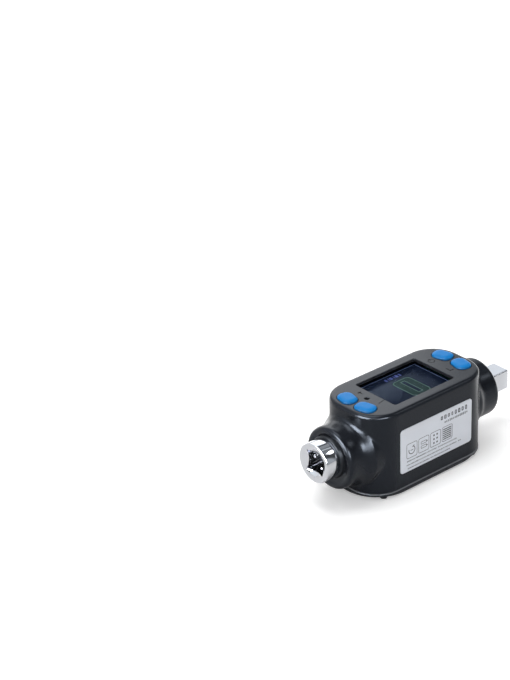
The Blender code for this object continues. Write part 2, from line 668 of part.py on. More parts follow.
def make_board():
    board = block("main_board", 2 * BOARD_HALF_LENGTH, 2 * BOARD_HALF_WIDTH, BODY_CORNER - SIDE_WALL,
                  BOARD_LOW_Z, BOARD_TOP_Z, (0.02, 0.16, 0.07), 0.4, centre=(BODY_X, 0), steps=6)
    number = 0
    for side_x in (-1, 1):
        for side_y in (-1, 1):
            number += 1
            spot = (BODY_X + side_x * BOARD_BOSS_X, side_y * BOARD_BOSS_Y)
            cut(board, rod("board_hole", BOARD_SCREW_RADIUS + GAP, BOARD_LOW_Z - GAP, BOARD_TOP_Z + GAP, spot))
            low = BOARD_LOW_Z - GAP
            head = low - BOARD_SCREW_HEAD_HEIGHT
            screw = [(head, 0.0), (head, BOARD_SCREW_HEAD - BOARD_SCREW_EDGE),
                     (head + BOARD_SCREW_EDGE, BOARD_SCREW_HEAD), (low, BOARD_SCREW_HEAD),
                     (low, BOARD_SCREW_RADIUS), (BOARD_LOW_Z + BOARD_SCREW_LENGTH - GAP, BOARD_SCREW_RADIUS),
                     (BOARD_LOW_Z + BOARD_SCREW_LENGTH - GAP, 0.0)]
            turned(f"board_screw_{number}", screw, (0.5, 0.5, 0.5), 0.35, 0.9,
                   steps=SMALL_STEPS, along_x=False, at=(*spot, 0))
    return board


def make_buttons():
    """A crowned cap with a retaining lip under the panel, the switch below it, and the switch's plunger."""
    for end, side in button_spots():
        where = spot_name(end, side)
        centre = button_centre(end, side)
        turn = button_turn(end, side)
        shoulder = TOP_Z + BUTTON_PROUD - BUTTON_CROWN
        lip_top = PANEL_LOW_Z - GAP
        lip_middle = lip_top - BUTTON_LIP_THICKNESS / 2
        levels = [(lip_middle, 0.0), (shoulder, 0.0)]
        for step in range(1, ROUND_STEPS + 2):
            angle = math.pi / 2 * step / (ROUND_STEPS + 1)
            levels.append((shoulder + BUTTON_CROWN * math.sin(angle), BUTTON_CROWN_INSET * (1 - math.cos(angle))))
        sections = []
        for z, inset in levels:
            sections.append((z, rounded_outline(BUTTON_LENGTH - 2 * inset, BUTTON_WIDTH - 2 * inset,
                                                BUTTON_CORNER - inset, 5, turn=turn)))
        cap = place(f"button_{where}", as_mesh("cap", lofted(sections)), (0.01, 0.22, 0.72), 0.35)
        cap.location = (*centre, 0)
        join(cap, block("lip", BUTTON_LENGTH + 2 * BUTTON_LIP, BUTTON_WIDTH - 2 * BUTTON_LIP_INSET, BUTTON_LIP_CORNER,
                        lip_top - BUTTON_LIP_THICKNESS, lip_top, centre=centre, turn=turn, steps=4))
        join(cap, rod("cap_stem", PLUNGER_RADIUS, PLUNGER_TOP_Z + GAP, lip_middle, centre))
        switch = block(f"switch_{where}", SWITCH_SIDE, SWITCH_SIDE, SWITCH_CORNER, SWITCH_LOW_Z, SWITCH_TOP_Z,
                       (0.05, 0.05, 0.055), 0.4, centre=centre, steps=2)
        floor = SWITCH_TOP_Z - PLUNGER_SUNK - BUTTON_TRAVEL - GAP
        cut(switch, rod("plunger_hole", PLUNGER_RADIUS + GAP, floor, SWITCH_TOP_Z + GAP, centre))
        rod(f"plunger_{where}", PLUNGER_RADIUS, SWITCH_TOP_Z - PLUNGER_SUNK, PLUNGER_TOP_Z, centre,
            (0.6, 0.6, 0.58), 0.5)


def make_sounder():
    rod("sounder", SOUNDER_RADIUS, BOARD_TOP_Z + GAP, BOARD_TOP_Z + GAP + SOUNDER_HEIGHT,
        (BODY_X - SOUND_HOLE_X, 0), (0.02, 0.02, 0.02), 0.5, steps=24)


def square_bar(name, sections, *look):
    """A square bar along X on the drive axis, through (reach, side, corner radius) sections."""
    outlines = [(reach, rounded_outline(side, side, corner, 3)) for reach, side, corner in sections]
    thing = place(name, as_mesh(name, lofted(outlines)), *look)
    thing.rotation_euler = (0, math.pi / 2, 0)
    thing.location = (BODY_X, 0, AXIS_Z)
    return thing


def shaft_profile():
    """Half section of the shaft, from the female face to the end of the shoulder."""
    head_back = -HEAD_BACK_REACH
    journal_end = -CAVITY_END + SIDE_WALL + BUSH_FLANGE_THICKNESS
    seal_x = journal_end - SEAL_FROM_JOURNAL_END
    groove = SEAL_WIRE + GAP
    groove_r = FRONT_JOURNAL - 2 * SEAL_WIRE - GAP
    waist = WAIST_END
    profile = [(-FEMALE_REACH, 0.0), (-FEMALE_REACH, HEAD_RADIUS - HEAD_CHAMFER),
               (-FEMALE_REACH + HEAD_CHAMFER, HEAD_RADIUS), (head_back - HEAD_BACK_EDGE, HEAD_RADIUS),
               (head_back, HEAD_RADIUS - HEAD_BACK_EDGE), (head_back, FRONT_JOURNAL),
               (seal_x - groove, FRONT_JOURNAL), (seal_x - groove, groove_r), (seal_x + groove, groove_r),
               (seal_x + groove, FRONT_JOURNAL), (journal_end, FRONT_JOURNAL),
               (journal_end, WAIST_RADIUS + WAIST_FILLET)]
    profile += arc(-waist, WAIST_RADIUS + WAIST_FILLET, WAIST_FILLET, 180, 270)
    profile.append((waist, WAIST_RADIUS))
    ring = (RING_LOW_X - GAP, RING_LOW_X + RING_THICKNESS + GAP)
    ring_r = REAR_JOURNAL - RING_GROOVE_DEPTH
    profile += [(waist + REAR_JOURNAL - WAIST_RADIUS, REAR_JOURNAL), (ring[0], REAR_JOURNAL), (ring[0], ring_r),
                (ring[1], ring_r), (ring[1], REAR_JOURNAL), (SHOULDER_END - SHOULDER_CHAMFER, REAR_JOURNAL),
                (SHOULDER_END, REAR_JOURNAL - SHOULDER_CHAMFER), (SHOULDER_END, 0.0)]
    return profile


def make_shaft():
    shaft = turned("torque_shaft", shaft_profile(), (0.62, 0.62, 0.63), 0.16, 1.0)
    join(shaft, square_bar("male_square", [(SHOULDER_END - SHOULDER_CHAMFER, MALE_SQUARE, SQUARE_CORNER),
                                           (MALE_REACH - MALE_CHAMFER, MALE_SQUARE, SQUARE_CORNER),
                                           (MALE_REACH, MALE_SQUARE - 2 * MALE_CHAMFER, MALE_END_CORNER)]))
    socket = square_bar("female_square", [(-FEMALE_REACH - GAP, FEMALE_SQUARE, FEMALE_CORNER),
                                          (-FEMALE_REACH + FEMALE_DEPTH, FEMALE_SQUARE, FEMALE_CORNER)])
    for quarter in range(4):
        join(socket, dimple(math.pi / 2 * quarter))
    cut(shaft, socket)
    flare = math.tan(FEMALE_MOUTH_HALF_ANGLE)
    mouth = [(-FEMALE_REACH - GAP, 0.0), (-FEMALE_REACH - GAP, FEMALE_MOUTH_RADIUS + GAP * flare),
             (-FEMALE_REACH + FEMALE_MOUTH_RADIUS / flare, 0.0)]
    cut(shaft, turned("female_mouth", mouth, half_facet=True))
    ball_x = BODY_X + MALE_REACH - BALL_FROM_END
    face = AXIS_Z - MALE_SQUARE / 2
    bore = BALL_RADIUS + GAP
    hole = [(face - GAP, 0.0), (face - GAP, ball_mouth()), (face, ball_mouth()), (face + BALL_LIP, bore),
            (face + BALL_HOLE_DEPTH, bore), (face + BALL_HOLE_DEPTH, 0.0)]
    cut(shaft, turned("ball_hole", hole, steps=SMALL_STEPS, along_x=False, at=(ball_x, 0, 0), half_facet=True))
    cut(shaft, rod("lock_hole", LOCK_SCREW_RADIUS + GAP, 0, AXIS_Z - REAR_JOURNAL + LOCK_SCREW_BITE + GAP,
                   (lock_screw_x(), 0)))
    return shaft


def dimple(angle):
    """A ball-shaped hollow in one wall of the female square, where the next tool's ball clicks in."""
    shape = bmesh.new()
    bmesh.ops.create_uvsphere(shape, u_segments=12, v_segments=9, radius=DIMPLE_RADIUS)
    hollow = place("dimple", as_mesh("dimple", shape))
    reach = FEMALE_SQUARE / 2 + DIMPLE_DEPTH - DIMPLE_RADIUS
    hollow.location = (BODY_X - FEMALE_REACH + DIMPLE_FROM_FACE, reach * math.cos(angle),
                       AXIS_Z + reach * math.sin(angle))
    return hollow


def ball_depth():
    """How far the ball's centre lies inside the lower face of the male square."""
    return BALL_RADIUS - BALL_PROUD


def ball_mouth():
    """The staked mouth of the ball's hole, a running gap wider than the ball is there."""
    return math.sqrt(BALL_RADIUS ** 2 - ball_depth() ** 2) + BALL_MOUTH_FREE


def make_detent():
    ball_x = BODY_X + MALE_REACH - BALL_FROM_END
    face = AXIS_Z - MALE_SQUARE / 2
    centre_z = face + ball_depth()
    shape = bmesh.new()
    bmesh.ops.create_uvsphere(shape, u_segments=16, v_segments=10, radius=BALL_RADIUS)
    ball = place("detent_ball", as_mesh("detent_ball", shape), (0.7, 0.7, 0.7), 0.15, 1.0)
    ball.location = (ball_x, 0, centre_z)
    low = centre_z + BALL_RADIUS + SPRING_WIRE + GAP / 2
    high = face + BALL_HOLE_DEPTH - SPRING_WIRE - GAP
    wire("detent_spring", helix((ball_x, 0, low), (ball_x, 0, high), SPRING_RADIUS, SPRING_RADIUS, SPRING_TURNS),
         SPRING_WIRE, (0.5, 0.5, 0.5), 0.3, 0.9)


def make_bushes():
    """The front bush carries the head of the shaft, the rear bush the male end, held by a ring."""
    outer, inner = FRONT_BUSH_RADIUS, FRONT_JOURNAL + GAP
    start = -HEAD_BACK_REACH + GAP
    seat = -FLANGE_SEAT + GAP
    end = seat + BUSH_FLANGE_THICKNESS
    turned("front_bush", [(end, outer + FRONT_BUSH_FLANGE), (seat, outer + FRONT_BUSH_FLANGE), (seat, outer),
                          (start, outer), (start, inner), (end, inner)],
           (0.015, 0.015, 0.017), 0.5, closed=True)
    outer, inner = REAR_BUSH_RADIUS, REAR_JOURNAL + GAP
    start = BODY_LENGTH / 2 + GAP
    seat = REAR_NECK_REACH + GAP
    end = seat + BUSH_FLANGE_THICKNESS
    turned("rear_bush", [(end, outer + REAR_BUSH_FLANGE), (seat, outer + REAR_BUSH_FLANGE), (seat, outer),
                         (start, outer), (start, inner), (end, inner)],
           (0.015, 0.015, 0.017), 0.5, closed=True)
    make_seal()
    make_ring()


def make_seal():
    """The rubber ring in the shaft's groove, inside the front bush."""
    journal_end = -CAVITY_END + SIDE_WALL + BUSH_FLANGE_THICKNESS
    centre_x = journal_end - SEAL_FROM_JOURNAL_END
    middle = FRONT_JOURNAL - SEAL_WIRE
    steps = 6
    loop = arc(centre_x, middle, SEAL_WIRE, 0, 360 * (steps - 1) / steps, steps - 1)
    turned("shaft_seal", loop, (0.02, 0.02, 0.02), 0.7, closed=True, steps=32)


def make_ring():
    """The spring-steel retaining ring: open at its lower side, with the gap for the pliers."""
    inner = REAR_JOURNAL - RING_GROOVE_DEPTH + GAP
    outer = inner + RING_WIDTH
    edge = math.degrees(RING_OPENING) / 2
    outline = arc(0.0, 0.0, outer, edge, 360 - edge, TURN_STEPS)
    outline += arc(0.0, 0.0, inner, 360 - edge, edge, TURN_STEPS)
    shape = lofted([(RING_LOW_X, outline), (RING_LOW_X + RING_THICKNESS, outline)])
    bmesh.ops.rotate(shape, cent=(0, 0, 0), matrix=Matrix.Rotation(math.pi / 2, 3, "Y"), verts=shape.verts)
    bmesh.ops.translate(shape, vec=(BODY_X, 0, AXIS_Z), verts=shape.verts)
    place("retaining_ring", as_mesh("retaining_ring", shape), (0.12, 0.12, 0.13), 0.35, 0.9)


def make_lock_screw():
    """The cap screw that ties the housing's inner boss to the rear of the shaft, from below."""
    boss_radius = REAR_JOURNAL + GAP + BOSS_WALL
    seat = AXIS_Z - boss_radius - GAP
    tip = AXIS_Z - REAR_JOURNAL + LOCK_SCREW_BITE
    screw = [(seat - 2 * LOCK_SCREW_RADIUS, 0.0), (seat - 2 * LOCK_SCREW_RADIUS, LOCK_SCREW_HEAD),
             (seat, LOCK_SCREW_HEAD), (seat, LOCK_SCREW_RADIUS), (tip, LOCK_SCREW_RADIUS), (tip, 0.0)]
    turned("lock_screw", screw, (0.12, 0.12, 0.13), 0.35, 0.9, steps=SMALL_STEPS, along_x=False,
           at=(lock_screw_x(), 0, 0))


def make_gauges():
    """Two foil gauges on opposite sides of the waist, and the cable from them to the board."""
    inner = WAIST_RADIUS + GAP
    outer = inner + GAUGE_THICKNESS
    half = math.degrees(GAUGE_SPREAD) / 2
    for side, where in ((-90, "near"), (90, "far")):
        outline = arc(0.0, 0.0, outer, side - half, side + half, 6)
        outline += arc(0.0, 0.0, inner, side + half, side - half, 6)
        shape = lofted([(-GAUGE_LENGTH / 2, outline), (GAUGE_LENGTH / 2, outline)])
        bmesh.ops.rotate(shape, cent=(0, 0, 0), matrix=Matrix.Rotation(math.pi / 2, 3, "Y"), verts=shape.verts)
        bmesh.ops.translate(shape, vec=(BODY_X, 0, AXIS_Z), verts=shape.verts)
        name = f"strain_gauge_{where}"
        place(name, as_mesh(name, shape), (0.75, 0.5, 0.12), 0.35)
    reach = outer + GAP + LEAD_RADIUS
    knots = []
    for share in (0.0, 0.5, 1.0):
        angle = CABLE_START + share * CABLE_WRAP
        knots.append((BODY_X, -reach * math.cos(angle), AXIS_Z + reach * math.sin(angle)))
    rise_y = knots[-1][1] + CABLE_FROM_WAIST
    knots += [(BODY_X, rise_y, (AXIS_Z + reach + BOARD_LOW_Z) / 2), (BODY_X, rise_y, BOARD_LOW_Z - GAP)]
    wire("gauge_cable", smooth_path(knots), LEAD_RADIUS, (0.45, 0.42, 0.4), 0.5)


def make_power():
    """The battery tray, open towards the base cover, with its cells, contacts and leads."""
    roof = CELL_Z + CELL_DIAMETER / 2 + GAP
    length, width = 2 * (TRAY_HALF_LENGTH + TRAY_WALL), 2 * (TRAY_HALF_WIDTH + TRAY_WALL)
    tray = block("battery_tray", length, width, TRAY_WALL, COVER_TOP_Z + GAP, roof + TRAY_WALL,
                 (0.04, 0.04, 0.045), 0.6, centre=(BODY_X, 0), steps=2)
    cut(tray, box("tray_room", (BODY_X - TRAY_HALF_LENGTH, -TRAY_HALF_WIDTH, 0),
                  (BODY_X + TRAY_HALF_LENGTH, TRAY_HALF_WIDTH, roof)))
    plate_x = TRAY_HALF_LENGTH - GAP - CONTACT_THICKNESS
    half = CONTACT_SIDE / 2
    pitch = CELL_PITCH / 2
    metal = ((0.6, 0.6, 0.58), 0.3, 0.9)
    box("bridge_contact", (BODY_X - plate_x - CONTACT_THICKNESS, -pitch - half, CELL_Z - half),
        (BODY_X - plate_x, pitch + half, CELL_Z + half), *metal)
    for side, where in ((-1, "near"), (1, "far")):
        y = side * pitch
        box(f"terminal_{where}", (BODY_X + plate_x, y - half, CELL_Z - half),
            (BODY_X + plate_x + CONTACT_THICKNESS, y + half, CELL_Z + half), *metal)
        make_cell(where, side, y, plate_x - GAP)
        make_lead(tray, where, side, y, plate_x + CONTACT_THICKNESS)
    return tray


def make_cell(where, side, y, reach):
    """A cell lying along X, its nub towards +X on the near side and -X on the far side, and its spring."""
    way = -side
    radius = CELL_DIAMETER / 2
    tip, neck, back = reach, reach - CELL_NUB_LENGTH, reach - CELL_LENGTH
    cell = [(tip, 0.0), (tip, CELL_NUB_RADIUS), (neck, CELL_NUB_RADIUS), (neck, radius - CELL_EDGE),
            (neck - CELL_EDGE, radius), (back + CELL_EDGE, radius), (back, radius - CELL_EDGE), (back, 0.0)]
    turned(f"cell_{where}", [(way * x, r) for x, r in cell], (0.08, 0.2, 0.1), 0.35, 0.3, steps=24,
           at=(BODY_X, y, CELL_Z))
    start = BODY_X + way * (back - GAP - CONTACT_SPRING_WIRE)
    end = BODY_X - way * (reach - CONTACT_SPRING_WIRE)
    wire(f"contact_spring_{where}",
         helix((start, y, CELL_Z), (end, y, CELL_Z), CONTACT_SPRING_TIP, CONTACT_SPRING_RADIUS,
               CONTACT_SPRING_TURNS), CONTACT_SPRING_WIRE, (0.6, 0.6, 0.58), 0.3, 0.9)


def make_lead(tray, where, side, y, reach):
    """A lead from a terminal, out through the tray's end wall and up beside the shaft to the board."""
    wall = (TRAY_HALF_LENGTH, TRAY_HALF_LENGTH + TRAY_WALL)
    cut(tray, turned("lead_hole", [(wall[0] - GAP, 0.0), (wall[0] - GAP, LEAD_RADIUS + GAP),
                                   (wall[1] + GAP, LEAD_RADIUS + GAP), (wall[1] + GAP, 0.0)],
                     steps=12, at=(BODY_X, y, CELL_Z)))
    riser = BODY_X + wall[1] + LEAD_STAND_OFF
    clear = side * (WAIST_RADIUS + LEAD_STAND_OFF)
    knots = [(BODY_X + reach + GAP, y, CELL_Z), (BODY_X + wall[1], y, CELL_Z),
             (BODY_X + wall[1] + LEAD_BEND, y, CELL_Z + GAP),
             (riser, (y + clear) / 2, (CELL_Z + AXIS_Z) / 2),
             (riser, clear, AXIS_Z), (riser, clear, BOARD_LOW_Z - LEAD_STAND_OFF),
             (riser, clear, BOARD_LOW_Z - GAP)]
    colour = (0.5, 0.02, 0.02) if side < 0 else (0.02, 0.02, 0.02)
    wire(f"battery_lead_{where}", smooth_path(knots), LEAD_RADIUS, colour, 0.5)


def make_gasket(cover):
    """A flat rubber ring in a groove of the cover, under the housing's wall."""
    low = COVER_TOP_Z - GASKET_HEIGHT
    gasket_ring("cover_gasket", 0.0, low, COVER_TOP_Z, (0.02, 0.02, 0.02), 0.8)
    cut(cover, gasket_ring("gasket_groove", GAP, low - GAP, COVER_TOP_Z + GAP))


def gasket_ring(name, margin, low, high, *look):
    reach = GASKET_FROM_CAVITY + GASKET_WIDTH + margin
    length = 2 * (CAVITY_END + reach)
    width = BODY_WIDTH - 2 * SIDE_WALL + 2 * reach
    corner = BODY_CORNER - SIDE_WALL + reach
    step = GASKET_WIDTH + 2 * margin
    outer = rounded_outline(length, width, corner, 8, (BODY_X, 0))
    inner = rounded_outline(length - 2 * step, width - 2 * step, corner - step, 8, (BODY_X, 0))
    shape = bmesh.new()
    rings = []
    for z, outline in ((low, outer), (high, outer), (high, inner), (low, inner)):
        rings.append([shape.verts.new((x, y, z)) for x, y in outline])
    for a, b in zip(rings, rings[1:] + rings[:1]):
        for i in range(len(a)):
            j = (i + 1) % len(a)
            shape.faces.new((a[i], a[j], b[j], b[i]))
    return place(name, as_mesh(name, shape), *look)


def main():
    make_housing()
    cover = make_cover()
    make_gasket(cover)
    make_cover_screws_and_feet()
    make_label()
    make_lens_and_display()
    make_board()
    make_buttons()
    make_sounder()
    make_shaft()
    make_detent()
    make_bushes()
    make_lock_screw()
    make_gauges()
    make_power()


main()
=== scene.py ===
"""Digital torque adapter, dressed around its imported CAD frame.

Metres. The drive axis lies along X with the female square at -X, the panel is on top and the label on -Y.
"""
import math

import bmesh
import bpy
from mathutils import Matrix, Vector


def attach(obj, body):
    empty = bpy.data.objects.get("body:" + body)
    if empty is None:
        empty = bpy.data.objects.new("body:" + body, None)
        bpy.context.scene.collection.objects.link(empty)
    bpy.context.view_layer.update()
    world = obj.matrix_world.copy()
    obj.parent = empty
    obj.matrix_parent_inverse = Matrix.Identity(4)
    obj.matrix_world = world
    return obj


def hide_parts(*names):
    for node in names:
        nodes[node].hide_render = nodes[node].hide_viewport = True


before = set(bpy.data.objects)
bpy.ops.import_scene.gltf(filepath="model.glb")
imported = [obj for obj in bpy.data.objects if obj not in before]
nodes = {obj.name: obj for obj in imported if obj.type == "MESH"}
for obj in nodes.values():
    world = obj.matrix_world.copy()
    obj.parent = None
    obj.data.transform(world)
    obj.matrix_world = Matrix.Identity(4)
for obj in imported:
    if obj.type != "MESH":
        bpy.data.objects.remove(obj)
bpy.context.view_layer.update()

# Camera: a long lens a little above the bench, looking at the label side from the female end. Its aim and
# turns were fitted to the photograph, whose frame holds the adapter in the lower right part.
AIM = Vector((-0.00475, 0.0, 0.029))
AZIMUTH = math.radians(-39.37507)
ELEVATION = math.radians(27.13816)
ROLL = math.radians(-2.06124)
DISTANCE = 1.18396897
FOCAL_PIXELS = 2000.0
FRAME_PIXELS = 680.0
OFF_CENTRE_PIXELS = (149.84798, -80.46807)
SENSOR = 36.0
CLIP = (0.05, 20.0)


def placed(name, data):
    """An object with its data, put into the scene."""
    made = bpy.data.objects.new(name, data)
    bpy.context.scene.collection.objects.link(made)
    return made


back = Vector((math.sin(AZIMUTH) * math.cos(ELEVATION), -math.cos(AZIMUTH) * math.cos(ELEVATION),
               math.sin(ELEVATION)))
level = Vector((math.cos(AZIMUTH), math.sin(AZIMUTH), 0.0))
right = math.cos(ROLL) * level + math.sin(ROLL) * back.cross(level)
up = back.cross(right)
lens_data = bpy.data.cameras.new("camera")
lens_data.sensor_width = SENSOR
lens_data.lens = FOCAL_PIXELS / FRAME_PIXELS * SENSOR
lens_data.clip_start, lens_data.clip_end = CLIP
camera = placed("camera", lens_data)
camera.matrix_world = Matrix((right, up, back)).transposed().to_4x4()
camera.location = AIM + DISTANCE * (back - right * OFF_CENTRE_PIXELS[0] / FOCAL_PIXELS
                                    - up * OFF_CENTRE_PIXELS[1] / FOCAL_PIXELS)
bpy.context.scene.camera = camera
bpy.context.scene.view_settings.view_transform = "Standard"

# Studio: a white paper floor, a large softbox overhead and smaller ones behind and at the left. The cards
# show only as highlights in gloss. Metal and glass mirror a white backdrop behind the part, the floor that
# glows there, and a darker room with lit strips in front of it.
WHITE = (1.0, 1.0, 1.0, 1.0)
FLOOR_SIZE = 6.0
FLOOR_WHITE = (0.93, 0.93, 0.93, 1.0)
FLOOR_ROUGHNESS = 0.9
FLOOR_LIFT = 0.30
FAR_LIFT = 1.0
FAR_FLOOR = (0.35, 0.90)
WORLD_LIGHT = 0.50
MIRRORED_ROOM = ((-1.00, 0.45), (-0.78, 0.60), (-0.72, 0.08), (-0.56, 0.08), (-0.50, 0.28), (-0.26, 0.28),
                 (-0.20, 0.08), (-0.17, 1.00), (-0.12, 1.00), (-0.08, 0.06), (0.00, 0.40), (0.22, 0.45),
                 (0.27, 0.05), (0.33, 0.05), (0.38, 1.30))
BACKDROP_TINT = (0.88, 0.94, 1.0)
SOFTBOXES = (
    ("top_softbox", (-0.10, 0.20, 1.10), 0.6, 6.0, True),
    ("back_softbox", (0.18, 0.34, 0.29), 0.28, 0.36, True),
    ("left_softbox", (-0.95, -0.76, 0.81), 0.35, 2.4, True),
    ("left_card", (-1.00, -0.04, 0.52), 0.80, 65.0, False),
    ("front_card", (-0.62, -1.02, 0.42), 0.40, 8.0, False),
    ("near_card", (-0.22, -1.05, 0.54), 0.36, 13.0, False),
    ("edge_card", (0.70, -0.56, 0.80), 0.24, 1.0, False),
)
MIRRORED_GLOW = 1.0
GLOW_HEADING = (0.77, 0.64, 0.0)
GLOW_SPAN = (0.058, 0.085)


def feed(tree, node, inputs):
    """Sets a node's inputs. Each value is a socket to link or a plain value."""
    for slot, value in inputs.items():
        if isinstance(value, bpy.types.NodeSocket):
            tree.links.new(value, node.inputs[slot])
        else:
            node.inputs[slot].default_value = value


def new_node(tree, kind, inputs=None, **settings):
    """A node with its settings and inputs."""
    node = tree.nodes.new(kind)
    for name, value in settings.items():
        setattr(node, name, value)
    feed(tree, node, inputs or {})
    return node


def maths(tree, operation, *values):
    """The result of a math node. Each value is a socket or a plain number."""
    return new_node(tree, "ShaderNodeMath", dict(enumerate(values)), operation=operation).outputs[0]


def ramp(tree, value, span, low=0.0, high=1.0):
    """Runs from low to high while a value crosses a span."""
    return new_node(tree, "ShaderNodeMapRange", {"Value": value, "From Min": span[0], "From Max": span[1],
                                                 "To Min": low, "To Max": high}).outputs["Result"]


def own_place(tree):
    """Coordinates of the object itself."""
    return new_node(tree, "ShaderNodeTexCoord").outputs["Object"]


def new_look(name):
    """A material, its tree and its shader."""
    look = bpy.data.materials.new(name)
    look.use_nodes = True
    return look, look.node_tree, look.node_tree.nodes["Principled BSDF"]


def blank_object(name, shape):
    """An object from a form, to be cut, joined or finished."""
    mesh = bpy.data.meshes.new(name)
    shape.to_mesh(mesh)
    shape.free()
    return placed(name, mesh)


world = bpy.data.worlds.new("studio_light")
bpy.context.scene.world = world
world.use_nodes = True
air = world.node_tree
feed(air, air.nodes["Background"], {"Strength": WORLD_LIGHT, "Color": WHITE})
around = new_node(air, "ShaderNodeTexCoord").outputs["Generated"]
direction = new_node(air, "ShaderNodeSeparateXYZ", {0: around})
room = new_node(air, "ShaderNodeValToRGB", {"Fac": ramp(air, direction.outputs["Y"], (-1.0, 1.0))})
for depth, grey in MIRRORED_ROOM:
    stop = room.color_ramp.elements.new((depth + 1.0) / 2.0)
    stop.color = [grey * tint for tint in BACKDROP_TINT] + [1.0]
room.color_ramp.elements.remove(room.color_ramp.elements[0])
paths = new_node(air, "ShaderNodeLightPath").outputs
shown = air.nodes["Background"].outputs[0]
for ray, colour in (("Is Glossy Ray", room.outputs["Color"]), ("Is Transmission Ray", WHITE),
                    ("Is Camera Ray", WHITE)):
    layer = new_node(air, "ShaderNodeBackground", {"Color": colour}).outputs[0]
    shown = new_node(air, "ShaderNodeMixShader", {"Fac": paths[ray], 1: shown, 2: layer}).outputs[0]
feed(air, air.nodes["World Output"], {"Surface": shown})

for name, place, size, power, lights_all in SOFTBOXES:
    lamp = bpy.data.lights.new(name, "AREA")
    lamp.shape = "SQUARE"
    lamp.size = size
    lamp.energy = power
    softbox = placed(name, lamp)
    softbox.location = place
    softbox.visible_camera = False
    softbox.visible_diffuse = lights_all
    softbox.rotation_euler = (AIM - Vector(place)).to_track_quat("-Z", "Y").to_euler()

floor_shape = bmesh.new()
bmesh.ops.create_grid(floor_shape, x_segments=1, y_segments=1, size=FLOOR_SIZE / 2)
floor = blank_object("floor", floor_shape)
paper, sheet, paper_shader = new_look("floor_paper")
heading = new_node(sheet, "ShaderNodeVectorMath", {0: own_place(sheet), 1: GLOW_HEADING},
                   operation="DOT_PRODUCT")
away = new_node(sheet, "ShaderNodeVectorMath", {0: own_place(sheet)}, operation="LENGTH")
seen_by = new_node(sheet, "ShaderNodeLightPath").outputs
mirrored = maths(sheet, "MULTIPLY", ramp(sheet, heading.outputs["Value"], GLOW_SPAN, high=MIRRORED_GLOW),
                 seen_by["Is Glossy Ray"])
glow = maths(sheet, "MULTIPLY_ADD", seen_by["Is Camera Ray"],
             ramp(sheet, away.outputs["Value"], FAR_FLOOR, FLOOR_LIFT, FAR_LIFT), mirrored)
feed(sheet, paper_shader, {"Base Color": FLOOR_WHITE, "Roughness": FLOOR_ROUGHNESS, "Specular IOR Level": 0.0,
                           "Emission Color": WHITE, "Emission Strength": glow})
floor.data.materials.append(paper)

# Torque shaft: one bar of alloy steel, turned, with a waist for the gauges, milled square at the male end and
# broached square at the female end, whose mouth is countersunk. It is chromed and polished all over.
BODY_X = -0.00475
AXIS_Z = 0.029
GAP = 0.0003
HEAD_REACH = 0.0726
HEAD_BACK = 0.0630
HEAD_RADIUS = 0.0123
HEAD_CHAMFER = 0.0007
FRONT_JOURNAL = 0.0110
JOURNAL_END = 0.0422
SEAL_REACH = 0.0482
SEAL_WIRE = 0.0008
SEAL_DEPTH = 0.0019
WAIST_RADIUS = 0.0080
WAIST_FILLET = 0.0020
WAIST_END = 0.0350
REAR_JOURNAL = 0.0090
RING_REACH = 0.0632
RING_THICKNESS = 0.0010
RING_DEPTH = 0.0008
SHOULDER_REACH = 0.0660
SHOULDER_CHAMFER = 0.0008
MALE_REACH = 0.0821
MALE_SIDE = 0.0127
MALE_CORNER = 0.0009
MALE_CHAMFER = 0.0009
FEMALE_SIDE = 0.0129
FEMALE_DEPTH = 0.0165
MOUTH_RADIUS = 0.0104
MOUTH_HALF_ANGLE = math.radians(60)
HOLLOW_RADIUS = 0.0023
HOLLOW_DEPTH = 0.0007
HOLLOW_FROM_FACE = 0.0080
BALL_RADIUS = 0.0019
BALL_SPOT = Vector((0.06975, 0.0, 0.02375))
BALL_BORE = 0.0022
BALL_MOUTH = 0.00175
BALL_BORE_DEPTH = 0.0076
LOCK_X = 0.03735
LOCK_RADIUS = 0.0015
LOCK_BITE = 0.0033
FINE = 96
POLISHED = 128
TOOL_STRETCH = (1.0, 0.06, 0.06)
TOOL_DEPTH = 0.000004


def outline(length, width, radius, steps=12, centre=(0.0, 0.0), turn=0.0):
    """Points of a rectangle with round corners, counter-clockwise."""
    points = []
    quarter = math.pi / 2
    for side_x, side_y, start in ((1, -1, -quarter), (1, 1, 0.0), (-1, 1, quarter), (-1, -1, math.pi)):
        for step in range(steps + 1):
            angle = start + quarter * step / steps
            points.append(Vector((side_x * (length / 2 - radius) + radius * math.cos(angle),
                                  side_y * (width / 2 - radius) + radius * math.sin(angle))))
    spin = Matrix.Rotation(turn, 2)
    return [spin @ point + Vector(centre) for point in points]


def stacked(sections):
    """A closed form through outlines at rising heights. Each section is (height, outline)."""
    shape = bmesh.new()
    rings = [[shape.verts.new((point.x, point.y, z)) for point in points] for z, points in sections]
    for low, high in zip(rings, rings[1:]):
        for i in range(len(low)):
            j = (i + 1) % len(low)
            shape.faces.new((low[i], low[j], high[j], high[i]))
    shape.faces.new(reversed(rings[0]))
    shape.faces.new(rings[-1])
    return shape


def arc(centre, radius, start, end, steps):
    """Points of an arc as (reach, radius), between two angles in degrees."""
    turns = [math.radians(start + (end - start) * i / steps) for i in range(steps + 1)]
    return [(centre[0] + radius * math.cos(turn), centre[1] + radius * math.sin(turn)) for turn in turns]


